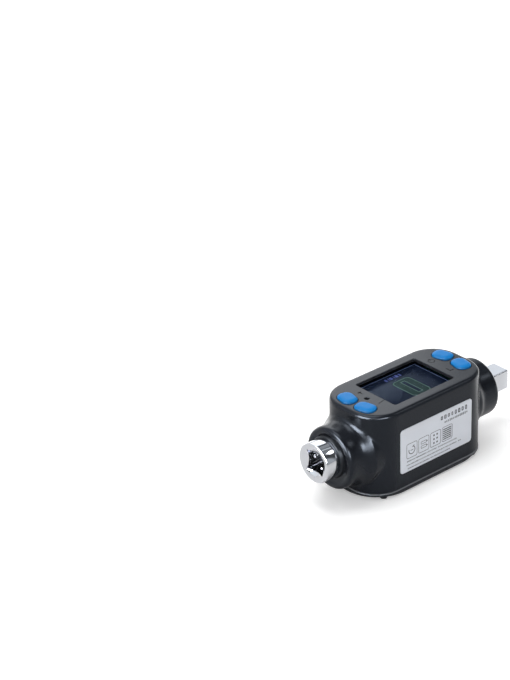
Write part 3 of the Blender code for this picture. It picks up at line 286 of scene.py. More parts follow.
def turned(profile, steps=FINE, upright=False, centre=(BODY_X, 0.0, AXIS_Z), closed=False):
    """A form turned on a lathe from (reach, radius) points, about X or upright about Z. Its ends are flat, or
    its last point is joined to its first."""
    if not closed:
        last_reach, last_radius = profile[-1]
        profile = [(profile[0][0], 0.0), *profile] + ([(last_reach, 0.0)] if last_radius else [])
    shape = bmesh.new()
    rings = []
    for reach, radius in profile:
        count = steps if radius else 1
        rings.append([shape.verts.new((reach, radius * math.cos(2 * math.pi * i / steps),
                                       radius * math.sin(2 * math.pi * i / steps))) for i in range(count)])
    pairs = list(zip(rings, rings[1:]))
    if closed:
        pairs.append((rings[-1], rings[0]))
    for a, b in pairs:
        for i in range(steps):
            j = (i + 1) % steps
            corners = [a[i % len(a)], a[j % len(a)], b[j % len(b)], b[i % len(b)]]
            kept = [corner for n, corner in enumerate(corners) if corner not in corners[:n]]
            if len(kept) > 2:
                shape.faces.new(kept)
    if upright:
        bmesh.ops.rotate(shape, cent=(0, 0, 0), matrix=Matrix.Rotation(-math.pi / 2, 3, "Y"),
                         verts=shape.verts)
    bmesh.ops.translate(shape, vec=centre, verts=shape.verts)
    bmesh.ops.recalc_face_normals(shape, faces=shape.faces)
    return shape


def upright_turned(profile, spot=(0.0, 0.0), steps=32):
    """A form turned about an upright axis from (height, radius) points."""
    return turned(profile, steps, upright=True, centre=(*spot, 0.0))


def upright_rod(radius, low, high, spot, steps=32):
    return upright_turned([(low, radius), (high, radius)], spot, steps)


def square_bar(*sections):
    """A square bar on the drive axis through (reach, side, corner radius) sections."""
    shape = stacked([(reach, outline(side, side, corner, 6)) for reach, side, corner in sections])
    bmesh.ops.rotate(shape, cent=(0, 0, 0), matrix=Matrix.Rotation(math.pi / 2, 3, "Y"), verts=shape.verts)
    bmesh.ops.translate(shape, vec=(BODY_X, 0.0, AXIS_Z), verts=shape.verts)
    return shape


def ball_at(spot, radius, segments=48, rings=32):
    shape = bmesh.new()
    bmesh.ops.create_uvsphere(shape, u_segments=segments, v_segments=rings, radius=radius)
    bmesh.ops.translate(shape, vec=spot, verts=shape.verts)
    return shape


def merged(shapes):
    """One form from several."""
    whole = bmesh.new()
    for shape in shapes:
        mesh = bpy.data.meshes.new("part")
        shape.to_mesh(mesh)
        shape.free()
        whole.from_mesh(mesh)
        bpy.data.meshes.remove(mesh)
    return whole


def settled(thing, *helpers):
    """The form of an object with its modifiers applied. The object and its helpers are removed."""
    bpy.context.view_layer.update()
    graph = bpy.context.evaluated_depsgraph_get()
    mesh = bpy.data.meshes.new_from_object(thing.evaluated_get(graph))
    for old in (thing, *helpers):
        bpy.data.objects.remove(old, do_unlink=True)
    shape = bmesh.new()
    shape.from_mesh(mesh)
    bpy.data.meshes.remove(mesh)
    return shape


def carved(base, joined=(), cut=()):
    """A form with others joined to it and then others cut out of it."""
    thing = blank_object("blank", base)
    helpers = []
    for operation, shapes in (("UNION", joined), ("DIFFERENCE", cut)):
        for shape in shapes:
            helpers.append(blank_object("helper", shape))
            step = thing.modifiers.new("step", "BOOLEAN")
            step.operation = operation
            step.solver = "EXACT"
            step.object = helpers[-1]
    return settled(thing, *helpers)


def piece(name, shape, look, stands_for=(), body="adapter", sharp=35):
    """A finished piece at the origin, smooth but for its sharp edges, riding on its body."""
    made = blank_object(name, shape)
    made.data.shade_smooth()
    made.data.set_sharp_from_angle(angle=math.radians(sharp))
    made.data.materials.append(look)
    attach(made, body)
    if stands_for:
        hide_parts(*stands_for)


def colour_mix(tree, amount, first, second):
    """A mix of two colours. They go into the mix node's sockets 6 and 7 and come out of its third."""
    return new_node(tree, "ShaderNodeMix", {0: amount, 6: first, 7: second}, data_type="RGBA").outputs[2]


def noise(tree, scale, detail=3.0, stretch=(1.0, 1.0, 1.0)):
    """Noise on the piece's own coordinates, stretched where the finish is."""
    where = new_node(tree, "ShaderNodeMapping", {"Scale": stretch, "Vector": own_place(tree)})
    return new_node(tree, "ShaderNodeTexNoise", {"Scale": scale, "Detail": detail,
                                                 "Vector": where.outputs["Vector"]}).outputs["Fac"]


def toned(tree, colour, swing, amount):
    """A colour made lighter and darker by a swing about zero."""
    factor = maths(tree, "MULTIPLY_ADD", swing, amount, 1.0)
    return new_node(tree, "ShaderNodeVectorMath", {0: colour, "Scale": factor}, operation="SCALE").outputs[0]


def new_group(name, kind, inputs, outputs):
    """A node group, the sockets that lead into it and the node that leads out."""
    group = bpy.data.node_groups.new(name, kind)
    for way, sockets in (("INPUT", inputs), ("OUTPUT", outputs)):
        for label, socket in sockets.items():
            group.interface.new_socket(label, in_out=way, socket_type=f"NodeSocket{socket}")
    return group, group.nodes.new("NodeGroupInput").outputs, group.nodes.new("NodeGroupOutput")


def finish_group(name, *inputs):
    """A shader node group that puts out a colour, a roughness and a height."""
    return new_group(name, "ShaderNodeTree", {"Colour": "Color", **dict.fromkeys(inputs, "Float")},
                     {"Colour": "Color", "Roughness": "Float", "Height": "Float"})


def finished_look(name, group, values, depth, metallic=0.0, specular=0.5, tint=(1, 1, 1), edge_round=0.0):
    """A material with one of the finish groups in it. Its constants stand on the shader itself."""
    look, tree, shader = new_look(name)
    effect = new_node(tree, "ShaderNodeGroup", values, node_tree=group).outputs
    bump = new_node(tree, "ShaderNodeBump", {"Distance": depth, "Height": effect["Height"]})
    if edge_round:
        soft = new_node(tree, "ShaderNodeBevel", {"Radius": edge_round})
        feed(tree, bump, {"Normal": soft.outputs["Normal"]})
    feed(tree, shader, {"Base Color": effect["Colour"], "Roughness": effect["Roughness"],
                        "Normal": bump.outputs["Normal"], "Metallic": metallic,
                        "Specular IOR Level": specular, "Specular Tint": (*tint, 1)})
    return look


metal, metal_in, metal_out = finish_group("machined_metal", "Smudge", "Lines", "Roughness", "Spread")
smudge = maths(metal, "SUBTRACT", noise(metal, 90.0, 5.0), 0.5)
tool_lines = noise(metal, metal_in["Lines"], 2.0, TOOL_STRETCH)
feed(metal, metal_out, {
    "Colour": toned(metal, metal_in["Colour"], smudge, metal_in["Smudge"]),
    "Roughness": maths(metal, "MULTIPLY_ADD", maths(metal, "ADD", smudge, tool_lines), metal_in["Spread"],
                       metal_in["Roughness"]),
    "Height": tool_lines})


def metal_look(name, colour, roughness, smudge=0.12, spread=0.08, lines=900.0, edge_round=0.0):
    """A machined, drawn or plated metal with soft smudges and fine tool lines."""
    values = {"Colour": (*colour, 1), "Smudge": smudge, "Lines": lines, "Roughness": roughness,
              "Spread": spread}
    return finished_look(name, metal, values, TOOL_DEPTH, metallic=1.0, edge_round=edge_round)


def dress(look, *starts):
    """Gives the CAD solids whose names start so their finish."""
    for name, node in nodes.items():
        if name.startswith(starts):
            node.data.materials.clear()
            node.data.materials.append(look)


chrome = metal_look("chromed_steel", (0.59, 0.60, 0.63), 0.07, spread=0.05, edge_round=0.0002)
groove = SEAL_WIRE + GAP
stem = [(-HEAD_REACH, HEAD_RADIUS - HEAD_CHAMFER)]
stem += arc((-HEAD_REACH + HEAD_CHAMFER, HEAD_RADIUS - HEAD_CHAMFER), HEAD_CHAMFER, 180, 90, 6)
stem += arc((-HEAD_BACK - GAP, HEAD_RADIUS - GAP), GAP, 90, 0, 4)
stem += [(-HEAD_BACK, FRONT_JOURNAL), (-SEAL_REACH - groove, FRONT_JOURNAL),
         (-SEAL_REACH - groove, FRONT_JOURNAL - SEAL_DEPTH),
         (-SEAL_REACH + groove, FRONT_JOURNAL - SEAL_DEPTH),
         (-SEAL_REACH + groove, FRONT_JOURNAL), (-JOURNAL_END, FRONT_JOURNAL),
         (-JOURNAL_END, WAIST_RADIUS + WAIST_FILLET)]
stem += arc((-WAIST_END, WAIST_RADIUS + WAIST_FILLET), WAIST_FILLET, 180, 270, 6)
stem += [(WAIST_END, WAIST_RADIUS), (WAIST_END + REAR_JOURNAL - WAIST_RADIUS, REAR_JOURNAL),
         (RING_REACH - GAP, REAR_JOURNAL), (RING_REACH - GAP, REAR_JOURNAL - RING_DEPTH),
         (RING_REACH + RING_THICKNESS + GAP, REAR_JOURNAL - RING_DEPTH),
         (RING_REACH + RING_THICKNESS + GAP, REAR_JOURNAL), (SHOULDER_REACH - SHOULDER_CHAMFER, REAR_JOURNAL),
         (SHOULDER_REACH, REAR_JOURNAL - SHOULDER_CHAMFER)]
male = square_bar((SHOULDER_REACH - SHOULDER_CHAMFER, MALE_SIDE, MALE_CORNER),
                  (MALE_REACH - MALE_CHAMFER, MALE_SIDE, MALE_CORNER),
                  (MALE_REACH - 0.4 * MALE_CHAMFER, MALE_SIDE - MALE_CHAMFER, 0.8 * MALE_CORNER),
                  (MALE_REACH, MALE_SIDE - 2 * MALE_CHAMFER, 0.5 * MALE_CORNER))
socket = square_bar((-HEAD_REACH - GAP, FEMALE_SIDE, GAP), (-HEAD_REACH + FEMALE_DEPTH, FEMALE_SIDE, GAP))
flare = math.tan(MOUTH_HALF_ANGLE)
mouth = turned([(-HEAD_REACH - GAP, MOUTH_RADIUS + GAP * flare),
                (-HEAD_REACH + MOUTH_RADIUS / flare, 0.0)], POLISHED)
hollow_reach = FEMALE_SIDE / 2 + HOLLOW_DEPTH - HOLLOW_RADIUS
hollows = merged(ball_at((BODY_X - HEAD_REACH + HOLLOW_FROM_FACE, hollow_reach * math.cos(math.pi / 2 * turn),
                          AXIS_Z + hollow_reach * math.sin(math.pi / 2 * turn)), HOLLOW_RADIUS, 32, 20)
                 for turn in range(4))
face_z = AXIS_Z - MALE_SIDE / 2
ball_hole = upright_turned([(face_z - GAP, BALL_MOUTH), (face_z, BALL_MOUTH),
                            (face_z + BALL_BORE - BALL_MOUTH, BALL_BORE),
                            (face_z + BALL_BORE_DEPTH, BALL_BORE)], (BALL_SPOT.x, 0.0))
lock_hole = upright_rod(LOCK_RADIUS + GAP, 0.0, AXIS_Z - REAR_JOURNAL + LOCK_BITE, (LOCK_X, 0.0))
shaft = carved(turned(stem, POLISHED), joined=[male],
               cut=[socket, mouth, hollows, merged([ball_hole, lock_hole])])
piece("torque_shaft_bar", shaft, chrome, ["torque_shaft"], sharp=33)

# Detent: a hardened steel ball that holds a socket on the male square. It is staked into the square's lower
# face and pushed out by a coil of spring wire. The ring that keeps the rear bush is of the same wire steel.
ball_steel = metal_look("ball_steel", (0.72, 0.72, 0.73), 0.05, smudge=0.05, spread=0.03)
piece("detent_ball_polished", ball_at(BALL_SPOT, BALL_RADIUS), ball_steel, ["detent_ball"],
      body="detent")
dress(metal_look("spring_wire", (0.30, 0.30, 0.32), 0.28, lines=2500.0), "detent_spring", "retaining_ring")

# Strain gauges and cable: etched foil grids on amber film, glued to the waist of the shaft, and a grey cable
# that runs from there up to the board.
GRID_LINES_PER_METRE = 1400.0
RAISED_SPAN = (0.53, 0.63)
RUB_AND_HIGHLIGHT_GREY = (0.30, 0.31, 0.33, 1)
ROUGHNESS_SPREAD = 0.10
moulding, moulding_in, moulding_out = finish_group("moulded_plastic", "Cloud", "Rub And Highlight", "Grain", "Roughness")
clouds = maths(moulding, "SUBTRACT", noise(moulding, 55.0, 4.0), 0.5)
cloudy = toned(moulding, moulding_in["Colour"], clouds, moulding_in["Cloud"])
# Raised edges turn paler: partly rubbing, partly a painted highlight for the light that rounded edges catch.
raised = ramp(moulding, new_node(moulding, "ShaderNodeNewGeometry").outputs["Pointiness"], RAISED_SPAN)
rubbed_and_lit_edges = maths(moulding, "MULTIPLY", maths(moulding, "MULTIPLY", raised, moulding_in["Rub And Highlight"]),
               noise(moulding, 160.0, 5.0))
patches = maths(moulding, "SUBTRACT", noise(moulding, 220.0), 0.5)
feed(moulding, moulding_out, {
    "Colour": colour_mix(moulding, rubbed_and_lit_edges, cloudy, RUB_AND_HIGHLIGHT_GREY),
    "Roughness": maths(moulding, "MULTIPLY_ADD", patches, ROUGHNESS_SPREAD, moulding_in["Roughness"]),
    "Height": noise(moulding, moulding_in["Grain"], 2.0)})


def moulded_look(name, colour, roughness, cloud=0.25, rub_and_highlight=0.3, grain=6000.0, depth=0.00002, **more):
    """Moulded plastic or rubber: cloudy tone, raised edges paler from rubbing and painted highlight, fine
    grain.
    """
    values = {"Colour": (*colour, 1), "Cloud": cloud, "Rub And Highlight": rub_and_highlight, "Grain": grain, "Roughness": roughness}
    return finished_look(name, moulding, values, depth, **more)


def striped(look, axis, per_metre, colour, share):
    """Lays bands of a second colour over a look's own colour, across one axis of the piece."""
    tree = look.node_tree
    base = tree.nodes["Principled BSDF"].inputs["Base Color"]
    across = new_node(tree, "ShaderNodeSeparateXYZ", {0: own_place(tree)}).outputs[axis]
    wave = maths(tree, "FRACT", maths(tree, "MULTIPLY", across, per_metre))
    own = base.links[0].from_socket
    tree.links.new(colour_mix(tree, maths(tree, "LESS_THAN", wave, share), own, colour), base)


gauge_film = moulded_look("gauge_film", (0.62, 0.36, 0.09), 0.25, cloud=0.4, grain=1800.0)
striped(gauge_film, "X", GRID_LINES_PER_METRE, (0.55, 0.50, 0.45, 1), 0.5)
dress(gauge_film, "strain_gauge")
dress(moulded_look("grey_insulation", (0.38, 0.37, 0.36), 0.5, grain=2000.0), "gauge_cable")

# Bushes and seal: two black acetal sleeves, pressed into the housing, and a rubber ring in the shaft's
# groove. The front sleeve shows as a dark lip behind the head, the rear one as the collar at the male end.
BUSH_CLEARANCE = 0.0003
BUSH_FLANGE = 0.0010
FRONT_BUSH = {"inner": FRONT_JOURNAL + BUSH_CLEARANCE, "outer": 0.0130, "flange": 0.0150}
FRONT_BUSH_ENDS = (-0.0627, -0.0445)
REAR_BUSH = {"inner": REAR_JOURNAL + BUSH_CLEARANCE, "outer": 0.0115, "flange": 0.0131}
REAR_BUSH_ENDS = (0.0483, 0.0629)
acetal = moulded_look("black_acetal", (0.008, 0.009, 0.011), 0.34, rub_and_highlight=0.12, grain=3000.0, depth=0.000008,
                      specular=0.25, tint=(0.80, 0.88, 1.0))


def bush(near, far, inner, outer, flange):
    """A sleeve with its flange at the far end and a rounded rim at the near end."""
    rim = 2 * BUSH_CLEARANCE
    return turned([(far, inner), (far, flange - GAP), (far - GAP, flange), (far - BUSH_FLANGE, flange),
                   (far - BUSH_FLANGE, outer), (near + rim, outer), (near + GAP / 2, outer - GAP),
                   (near, outer - rim), (near, inner)], closed=True)


piece("front_bush_sleeve", bush(*FRONT_BUSH_ENDS, **FRONT_BUSH), acetal, ["front_bush"])
piece("rear_bush_sleeve", bush(*REAR_BUSH_ENDS, **REAR_BUSH), acetal, ["rear_bush"])
rubber = moulded_look("black_rubber", (0.016, 0.016, 0.017), 0.75, rub_and_highlight=0.6, grain=2500.0)
dress(rubber, "shaft_seal", "cover_gasket")

# Housing: one moulding of black nylon with a satin grain, open underneath. A rounded box runs out into a neck
# at each end. It has holes for the window, buttons and sounder, posts for the screws and a boss on the shaft.
MIDDLE = (BODY_X, 0.0)
SEAM_Z = 0.0045
TOP_Z = 0.0555
BODY_LENGTH = 0.096
BODY_WIDTH = 0.0495
BODY_CORNER = 0.0188
TOP_EDGE_ROUND = 0.0021
SIDE_WALL = 0.0024
TOP_WALL = 0.0019
BELOW_SEAM = 0.004
VOXEL = 0.00075
BLEND_PASSES = 10
JUNCTION = (0.0450, 0.0565)
JUNCTION_EDGE = 0.0032
JUNCTION_PASSES = 30
FRONT_NECK = {"reach": 0.0610, "radius": 0.0193, "lift": -0.0017, "edge": 0.0022, "dish": 0.0006, "way": -1,
              "flare": 0.011, "rise": 0.0036}
REAR_NECK = {"reach": 0.0616, "radius": 0.0183, "lift": 0.0008, "edge": 0.0016, "dish": 0.0002, "way": 1,
             "flare": 0.007, "rise": 0.0018}
NECK_RIM = 0.0013
EDGE_BREAK = 0.00025
WINDOW_LENGTH = 0.048
WINDOW_WIDTH = 0.0336
WINDOW_CORNER = 0.0012
SOUND_HOLE = (-0.0305, 0.0)
SOUND_HOLE_RADIUS = 0.0015
BUTTON_SPREAD = (0.0776, 0.0152)
BUTTON_LENGTH = 0.0100
BUTTON_WIDTH = 0.0130
BUTTON_CORNER = 0.0044
BUTTON_TILT = math.radians(13)
POST_SPREAD = (0.056, 0.0387)
POST_RADIUS = 0.0034
POST_TOP = 0.0345
POST_HOLE_RADIUS = 0.00155
POST_HOLE_TOP = 0.0132
BOARD_SPREAD = (0.0572, 0.0348)
BOARD_BOSS_RADIUS = 0.0025
BOARD_HOLE_RADIUS = 0.0013
BOARD_HOLE_TOP = 0.0505
BOARD_TOP = 0.0475
BOSS_RADIUS = 0.0130
BOSS_START = 0.0386
BOSS_END = 0.0468
FRONT_SEAT = 0.0458
REAR_SEAT = 0.0480
LABEL_LENGTH = 0.0583
LABEL_HEIGHT = 0.0290
LABEL_CORNER = 0.0022
LABEL_DEPTH = 0.0003
LABEL_SPOT = Vector((BODY_X + 0.0017, -BODY_WIDTH / 2, AXIS_Z - 0.0011))


def quarter_round(steps):
    """A rounded edge of unit size from its side to its top, as (drop from the top, inset from the side)."""
    turns = [math.pi / 2 * step / steps for step in range(steps + 1)]
    return [(1 - math.sin(turn), 1 - math.cos(turn)) for turn in turns]


def slab(length, width, radius, low, high, high_round=0.0, rounds=2, **place):
    """A block with a rounded plan and, where wanted, a rounded upper edge."""
    edge = quarter_round(rounds) if high_round else [(0.0, 0.0)]
    levels = [(low, 0.0)] + [(high - high_round * drop, high_round * inset) for drop, inset in edge]
    return stacked([(z, outline(length - 2 * inset, width - 2 * inset, radius - inset, **place))
                    for z, inset in levels])


def corner_spots(spread):
    """The four spots of a rectangle round the middle of the body."""
    return [(BODY_X + x * spread[0] / 2, y * spread[1] / 2) for x in (-1, 1) for y in (-1, 1)]


def corner_rods(radius, low, high, spread, steps=32):
    """Four upright rods, one at each corner of a rectangle."""
    return [upright_rod(radius, low, high, spot, steps) for spot in corner_spots(spread)]


def neck(reach, radius, lift, edge, dish, way, flare, rise):
    """A neck: a concave flare out of the body, a round barrel, a rounded rim and a dished face."""
    flare_angle = math.acos(1 - rise / flare)
    flare_end = min(BODY_LENGTH / 2 - SIDE_WALL + flare * math.sin(flare_angle), reach - edge)
    profile = [(0.0, radius + rise)]
    profile += arc((flare_end, radius + flare), flare, -90 - math.degrees(flare_angle), -90, 12)
    profile += arc((reach - edge, radius - edge), edge, 90, 0, 8)
    lip = radius - edge - NECK_RIM
    profile += [(reach, lip), (reach - dish, lip - dish)]
    return turned([(way * x, r) for x, r in profile], centre=(*MIDDLE, AXIS_Z + lift))


def panel_cut(length, width, radius, **place):
    """A cutter through the top panel that also breaks its upper edge."""
    sections = [(TOP_Z - 2 * TOP_WALL, 0.0), (TOP_Z - EDGE_BREAK, 0.0), (TOP_Z + EDGE_BREAK, 2 * EDGE_BREAK)]
    return stacked([(z, outline(length + 2 * grow, width + 2 * grow, radius + grow, **place))
                    for z, grow in sections])


def button_places():
    """Name, centre and turn of each button. The pairs lean apart towards the ends of the body."""
    for spot in corner_spots(BUTTON_SPREAD):
        end, side = (1 if spot[0] > BODY_X else -1), (1 if spot[1] > 0 else -1)
        name = ("front" if end < 0 else "rear") + ("_near" if side < 0 else "_far")
        yield name, {"centre": spot, "turn": end * side * BUTTON_TILT}


NYLON_SHEEN = (0.74, 0.84, 1.0)
# Its high rub amount paints a highlight along the housing's rounded edges, besides rubbing.
black_nylon = moulded_look("black_nylon", (0.0075, 0.0085, 0.0115), 0.24, cloud=0.3, rub_and_highlight=0.8, grain=5200.0,
                           depth=0.000008, specular=0.24, tint=NYLON_SHEEN, edge_round=0.0003)
blank = slab(BODY_LENGTH, BODY_WIDTH, BODY_CORNER, SEAM_Z - BELOW_SEAM, TOP_Z, steps=28,
             high_round=TOP_EDGE_ROUND, rounds=8, centre=MIDDLE)
form = blank_object("housing_form", merged([blank, neck(**FRONT_NECK), neck(**REAR_NECK)]))
one_skin = form.modifiers.new("one_skin", "REMESH")
one_skin.mode = "VOXEL"
one_skin.voxel_size = VOXEL
blend = form.modifiers.new("blend_necks", "SMOOTH")
blend.factor = 0.5
blend.iterations = BLEND_PASSES
cavity = slab(BODY_LENGTH - 2 * SIDE_WALL, BODY_WIDTH - 2 * SIDE_WALL, BODY_CORNER - SIDE_WALL, -BELOW_SEAM,
              TOP_Z - TOP_WALL, steps=16, centre=MIDDLE)
below = slab(2 * BODY_LENGTH, 2 * BODY_WIDTH, BODY_CORNER, -2 * BELOW_SEAM, SEAM_Z, steps=2)
skin = settled(form)
junction = [vert for vert in skin.verts if JUNCTION[0] < BODY_X - vert.co.x < JUNCTION[1]
            and SEAM_Z + JUNCTION_EDGE < vert.co.z < TOP_Z - JUNCTION_EDGE]
for _ in range(JUNCTION_PASSES):
    bmesh.ops.smooth_vert(skin, verts=junction, factor=0.5, use_axis_x=True, use_axis_y=True, use_axis_z=True)
shell = carved(skin, cut=[below, cavity])
inside = corner_rods(POST_RADIUS, SEAM_Z + GAP, POST_TOP, POST_SPREAD)
inside += corner_rods(BOARD_BOSS_RADIUS, BOARD_TOP + GAP, TOP_Z - TOP_WALL / 2, BOARD_SPREAD)
inside.append(turned([(BOSS_START, BOSS_RADIUS), (BOSS_END, BOSS_RADIUS)]))
front_bore, flange_seat = FRONT_BUSH["outer"] + GAP, FRONT_BUSH["flange"] + GAP
shaft_way, rear_bore = REAR_BUSH["inner"], REAR_BUSH["outer"] + GAP
holes = corner_rods(POST_HOLE_RADIUS, 0.0, POST_HOLE_TOP, POST_SPREAD, 16)
holes += corner_rods(BOARD_HOLE_RADIUS, AXIS_Z, BOARD_HOLE_TOP, BOARD_SPREAD, 16)
holes += [turned([(-BODY_LENGTH, front_bore), (-FRONT_SEAT, front_bore), (-FRONT_SEAT, flange_seat),
                  (-WAIST_END, flange_seat)]),
          turned([(0.0, shaft_way), (REAR_SEAT, shaft_way), (REAR_SEAT, rear_bore),
                  (BODY_LENGTH, rear_bore)]),
          panel_cut(WINDOW_LENGTH, WINDOW_WIDTH, WINDOW_CORNER, steps=6, centre=MIDDLE),
          panel_cut(2 * SOUND_HOLE_RADIUS, 2 * SOUND_HOLE_RADIUS, 0.999 * SOUND_HOLE_RADIUS, steps=8,
                    centre=(BODY_X + SOUND_HOLE[0], SOUND_HOLE[1]))]
holes += [panel_cut(BUTTON_LENGTH + 2 * GAP, BUTTON_WIDTH + 2 * GAP, BUTTON_CORNER + GAP, **place)
          for _, place in button_places()]
recess = slab(LABEL_LENGTH + 2 * GAP, LABEL_HEIGHT + 2 * GAP, LABEL_CORNER, -2 * GAP, LABEL_DEPTH + GAP,
              steps=8)
bmesh.ops.transform(recess, matrix=Matrix.Translation(LABEL_SPOT) @ Matrix.Rotation(-math.pi / 2, 4, "X"),
                    verts=recess.verts)
lock_way = upright_rod(LOCK_RADIUS + GAP, 0.0, AXIS_Z - REAR_JOURNAL / 2, (LOCK_X, 0.0), 24)
piece("housing_moulding", carved(shell, joined=[merged(inside)], cut=[merged(holes), recess, lock_way]),
      black_nylon, ["housing"])

# Panel print: small dark signs beside the buttons, pad-printed on the panel. They are plain strokes and one
# ring with a stroke through its top.
PRINT_HEIGHT = 0.00003
PRINT_RING = (0.0044, 0.0044, 0.00219, 0.0004)
PRINT_RING_SPOT = (0.0290, 0.0073)
PRINT_STROKES = (
    (0.0050, 0.00045, (-0.0272, -0.0086), 10.0), (0.0006, 0.0036, (-0.0288, 0.0074), 0.0),
    (0.0028, 0.0006, (-0.0288, 0.0081), 0.0), (0.0004, 0.0022, (0.0290, 0.0090), 0.0),
    (0.0006, 0.0036, (0.0285, -0.0074), 0.0), (0.0030, 0.0006, (0.0299, -0.0090), 0.0),
)


def ring_band(outer, inner, low, high):
    """A closed band between two outlines with as many points."""
    shape = bmesh.new()
    rings = [[shape.verts.new((point[0], point[1], z)) for point in points]
             for z, points in ((low, outer), (high, outer), (high, inner), (low, inner))]
    for a, b in zip(rings, rings[1:] + rings[:1]):
        for i in range(len(a)):
            j = (i + 1) % len(a)
            shape.faces.new((a[i], a[j], b[j], b[i]))
    return shape


def frame_line(length, width, radius, line, low, high, **place):
    """A rounded rectangle's outline as a band of even width."""
    inner = outline(length - 2 * line, width - 2 * line, max(radius - line, 0.00001), **place)
    return ring_band(outline(length, width, radius, **place), inner, low, high)


def bar(length, width, centre, low, high, turn=0.0):
    return slab(length, width, 0.00002, low, high, steps=1, centre=centre, turn=turn)


panel_ink = moulded_look("panel_ink", (0.010, 0.009, 0.009), 0.6, rub_and_highlight=0.0, grain=3000.0, depth=0.000004,
                         specular=0.05)
print_band = (TOP_Z - PRINT_HEIGHT, TOP_Z + PRINT_HEIGHT)
signs = [bar(length, width, (BODY_X + spot[0], spot[1]), *print_band, math.radians(turn))
         for length, width, spot, turn in PRINT_STROKES]
signs.append(frame_line(*PRINT_RING, *print_band, centre=(BODY_X + PRINT_RING_SPOT[0], PRINT_RING_SPOT[1])))
piece("panel_print", merged(signs), panel_ink)

# Buttons: crowned caps moulded of blue polycarbonate with a satin grain. A lip under the panel keeps each in
# its hole, and a short rod under it rests over the plunger of its switch.
CAP_TOP = 0.0571
CAP_CROWN = 0.0014
CAP_INSET = 0.0033
CAP_STEPS = 14
CAP_LOW = 0.0524
LIP_TOP = 0.0533
LIP_LONGER = 0.0010
LIP_NARROWER = 0.0015
LIP_CORNER = 0.0052
PLUNGER_RADIUS = 0.0017
PLUNGER_TOP = 0.0519
cap_blue = moulded_look("blue_polycarbonate", (0.006, 0.20, 0.56), 0.34, cloud=0.15, rub_and_highlight=0.1, grain=2600.0,
                        depth=0.000010, specular=0.10)
for name, place in button_places():
    levels = [(CAP_LOW, 0.0)]
    levels += [(CAP_TOP - CAP_CROWN * drop, CAP_INSET * inset) for drop, inset in quarter_round(CAP_STEPS)]
    cap = stacked([(z, outline(BUTTON_LENGTH - 2 * inset, BUTTON_WIDTH - 2 * inset, BUTTON_CORNER - inset,
                               **place)) for z, inset in levels])
    lip = slab(BUTTON_LENGTH + LIP_LONGER, BUTTON_WIDTH - LIP_NARROWER, LIP_CORNER, CAP_LOW, LIP_TOP, **place)
    push_rod = upright_rod(PLUNGER_RADIUS, PLUNGER_TOP, CAP_LOW + GAP, place["centre"])
    piece(f"button_cap_{name}", carved(cap, joined=[lip, push_rod]), cap_blue,
          [f"button_{name}"], body=f"button_{name}", sharp=50)

# Window and display: a smoked acrylic lens clipped in under the panel, and below it the liquid crystal
# module, dark glass with a pale edge. It shows one large outlined digit in green and a row of small violet
# marks.
LENS_HIGH = 0.0533
LENS_LOW = 0.0521
LENS_OVERLAP = 0.0017
DISPLAY_HIGH = 0.0518
DISPLAY_LOW = 0.0478
DISPLAY_OVERLAP = 0.0008
DIGIT = {"centre": (BODY_X + 0.003, -0.0025), "steps": 6}
DIGIT_LENGTH = 0.0140
DIGIT_WIDTH = 0.0210
DIGIT_CORNER = 0.0032
SEGMENT = 0.0057
SLIT_CORNER = 0.0006
PALE_LINE = 0.0006
FILM = 0.00002
MARK_ROW = 0.0127
MARK_HEIGHT = 0.0027
MARKS = ((-0.0032, 0.0014), (-0.0010, 0.0006), (0.0008, 0.0018), (0.0032, 0.0006), (0.0052, 0.0018),
         (0.0078, 0.0012))
PANE_EDGE = 0.0001
EDGE_LINE = (WINDOW_LENGTH - 0.0010, WINDOW_WIDTH - 0.0010, 0.0008, 0.00032)
LENS_REFRACTION = 1.01
LENS_BLUR = 0.1
PALE_SMOKE = (0.70, 0.77, 0.86, 1)
DARK_SMOKE = (0.58, 0.66, 0.78, 1)


def pane(overlap, low, high):
    """A plate under the window that reaches past the opening all round."""
    return slab(WINDOW_LENGTH + 2 * overlap, WINDOW_WIDTH + 2 * overlap, WINDOW_CORNER, low, high,
                PANE_EDGE, steps=6, centre=MIDDLE)


lens_look, clear, lens_shader = new_look("smoked_lens")
smoke = colour_mix(clear, noise(clear, 60.0, 4.0), PALE_SMOKE, DARK_SMOKE)
blur = maths(clear, "MULTIPLY", noise(clear, 90.0, 4.0), LENS_BLUR)
feed(clear, lens_shader, {"Base Color": smoke, "Roughness": blur, "IOR": LENS_REFRACTION,
                          "Transmission Weight": 1.0})
lamp_way = new_node(clear, "ShaderNodeBsdfTransparent", {"Color": smoke}).outputs[0]
seen_as = new_node(clear, "ShaderNodeLightPath").outputs
passing = maths(clear, "MAXIMUM", seen_as["Is Shadow Ray"], seen_as["Is Diffuse Ray"])
let_through = new_node(clear, "ShaderNodeMixShader", {"Fac": passing, 1: lens_shader.outputs[0], 2: lamp_way})
feed(clear, clear.nodes["Material Output"], {"Surface": let_through.outputs[0]})
piece("window_lens_pane", pane(LENS_OVERLAP, LENS_LOW, LENS_HIGH), lens_look, ["window_lens"])
crystal = moulded_look("liquid_crystal_glass", (0.017, 0.021, 0.034), 0.22, cloud=0.35, rub_and_highlight=0.0, grain=500.0,
                       depth=0.0, specular=0.12)
piece("display_glass", pane(DISPLAY_OVERLAP, DISPLAY_LOW, DISPLAY_HIGH), crystal,
      ["display_module"])
shown_ink = {"rub_and_highlight": 0.0, "depth": 0.0, "specular": 0.08}
film = (DISPLAY_HIGH - FILM, DISPLAY_HIGH + FILM)
line_film = (film[0], film[1] + FILM)
digit = (DIGIT_LENGTH, DIGIT_WIDTH, DIGIT_CORNER)
slit_length, slit_width = DIGIT_LENGTH - 2 * SEGMENT, DIGIT_WIDTH - 1.1 * SEGMENT
fill = ring_band(outline(*digit, **DIGIT), outline(slit_length, slit_width, SLIT_CORNER, **DIGIT), *film)
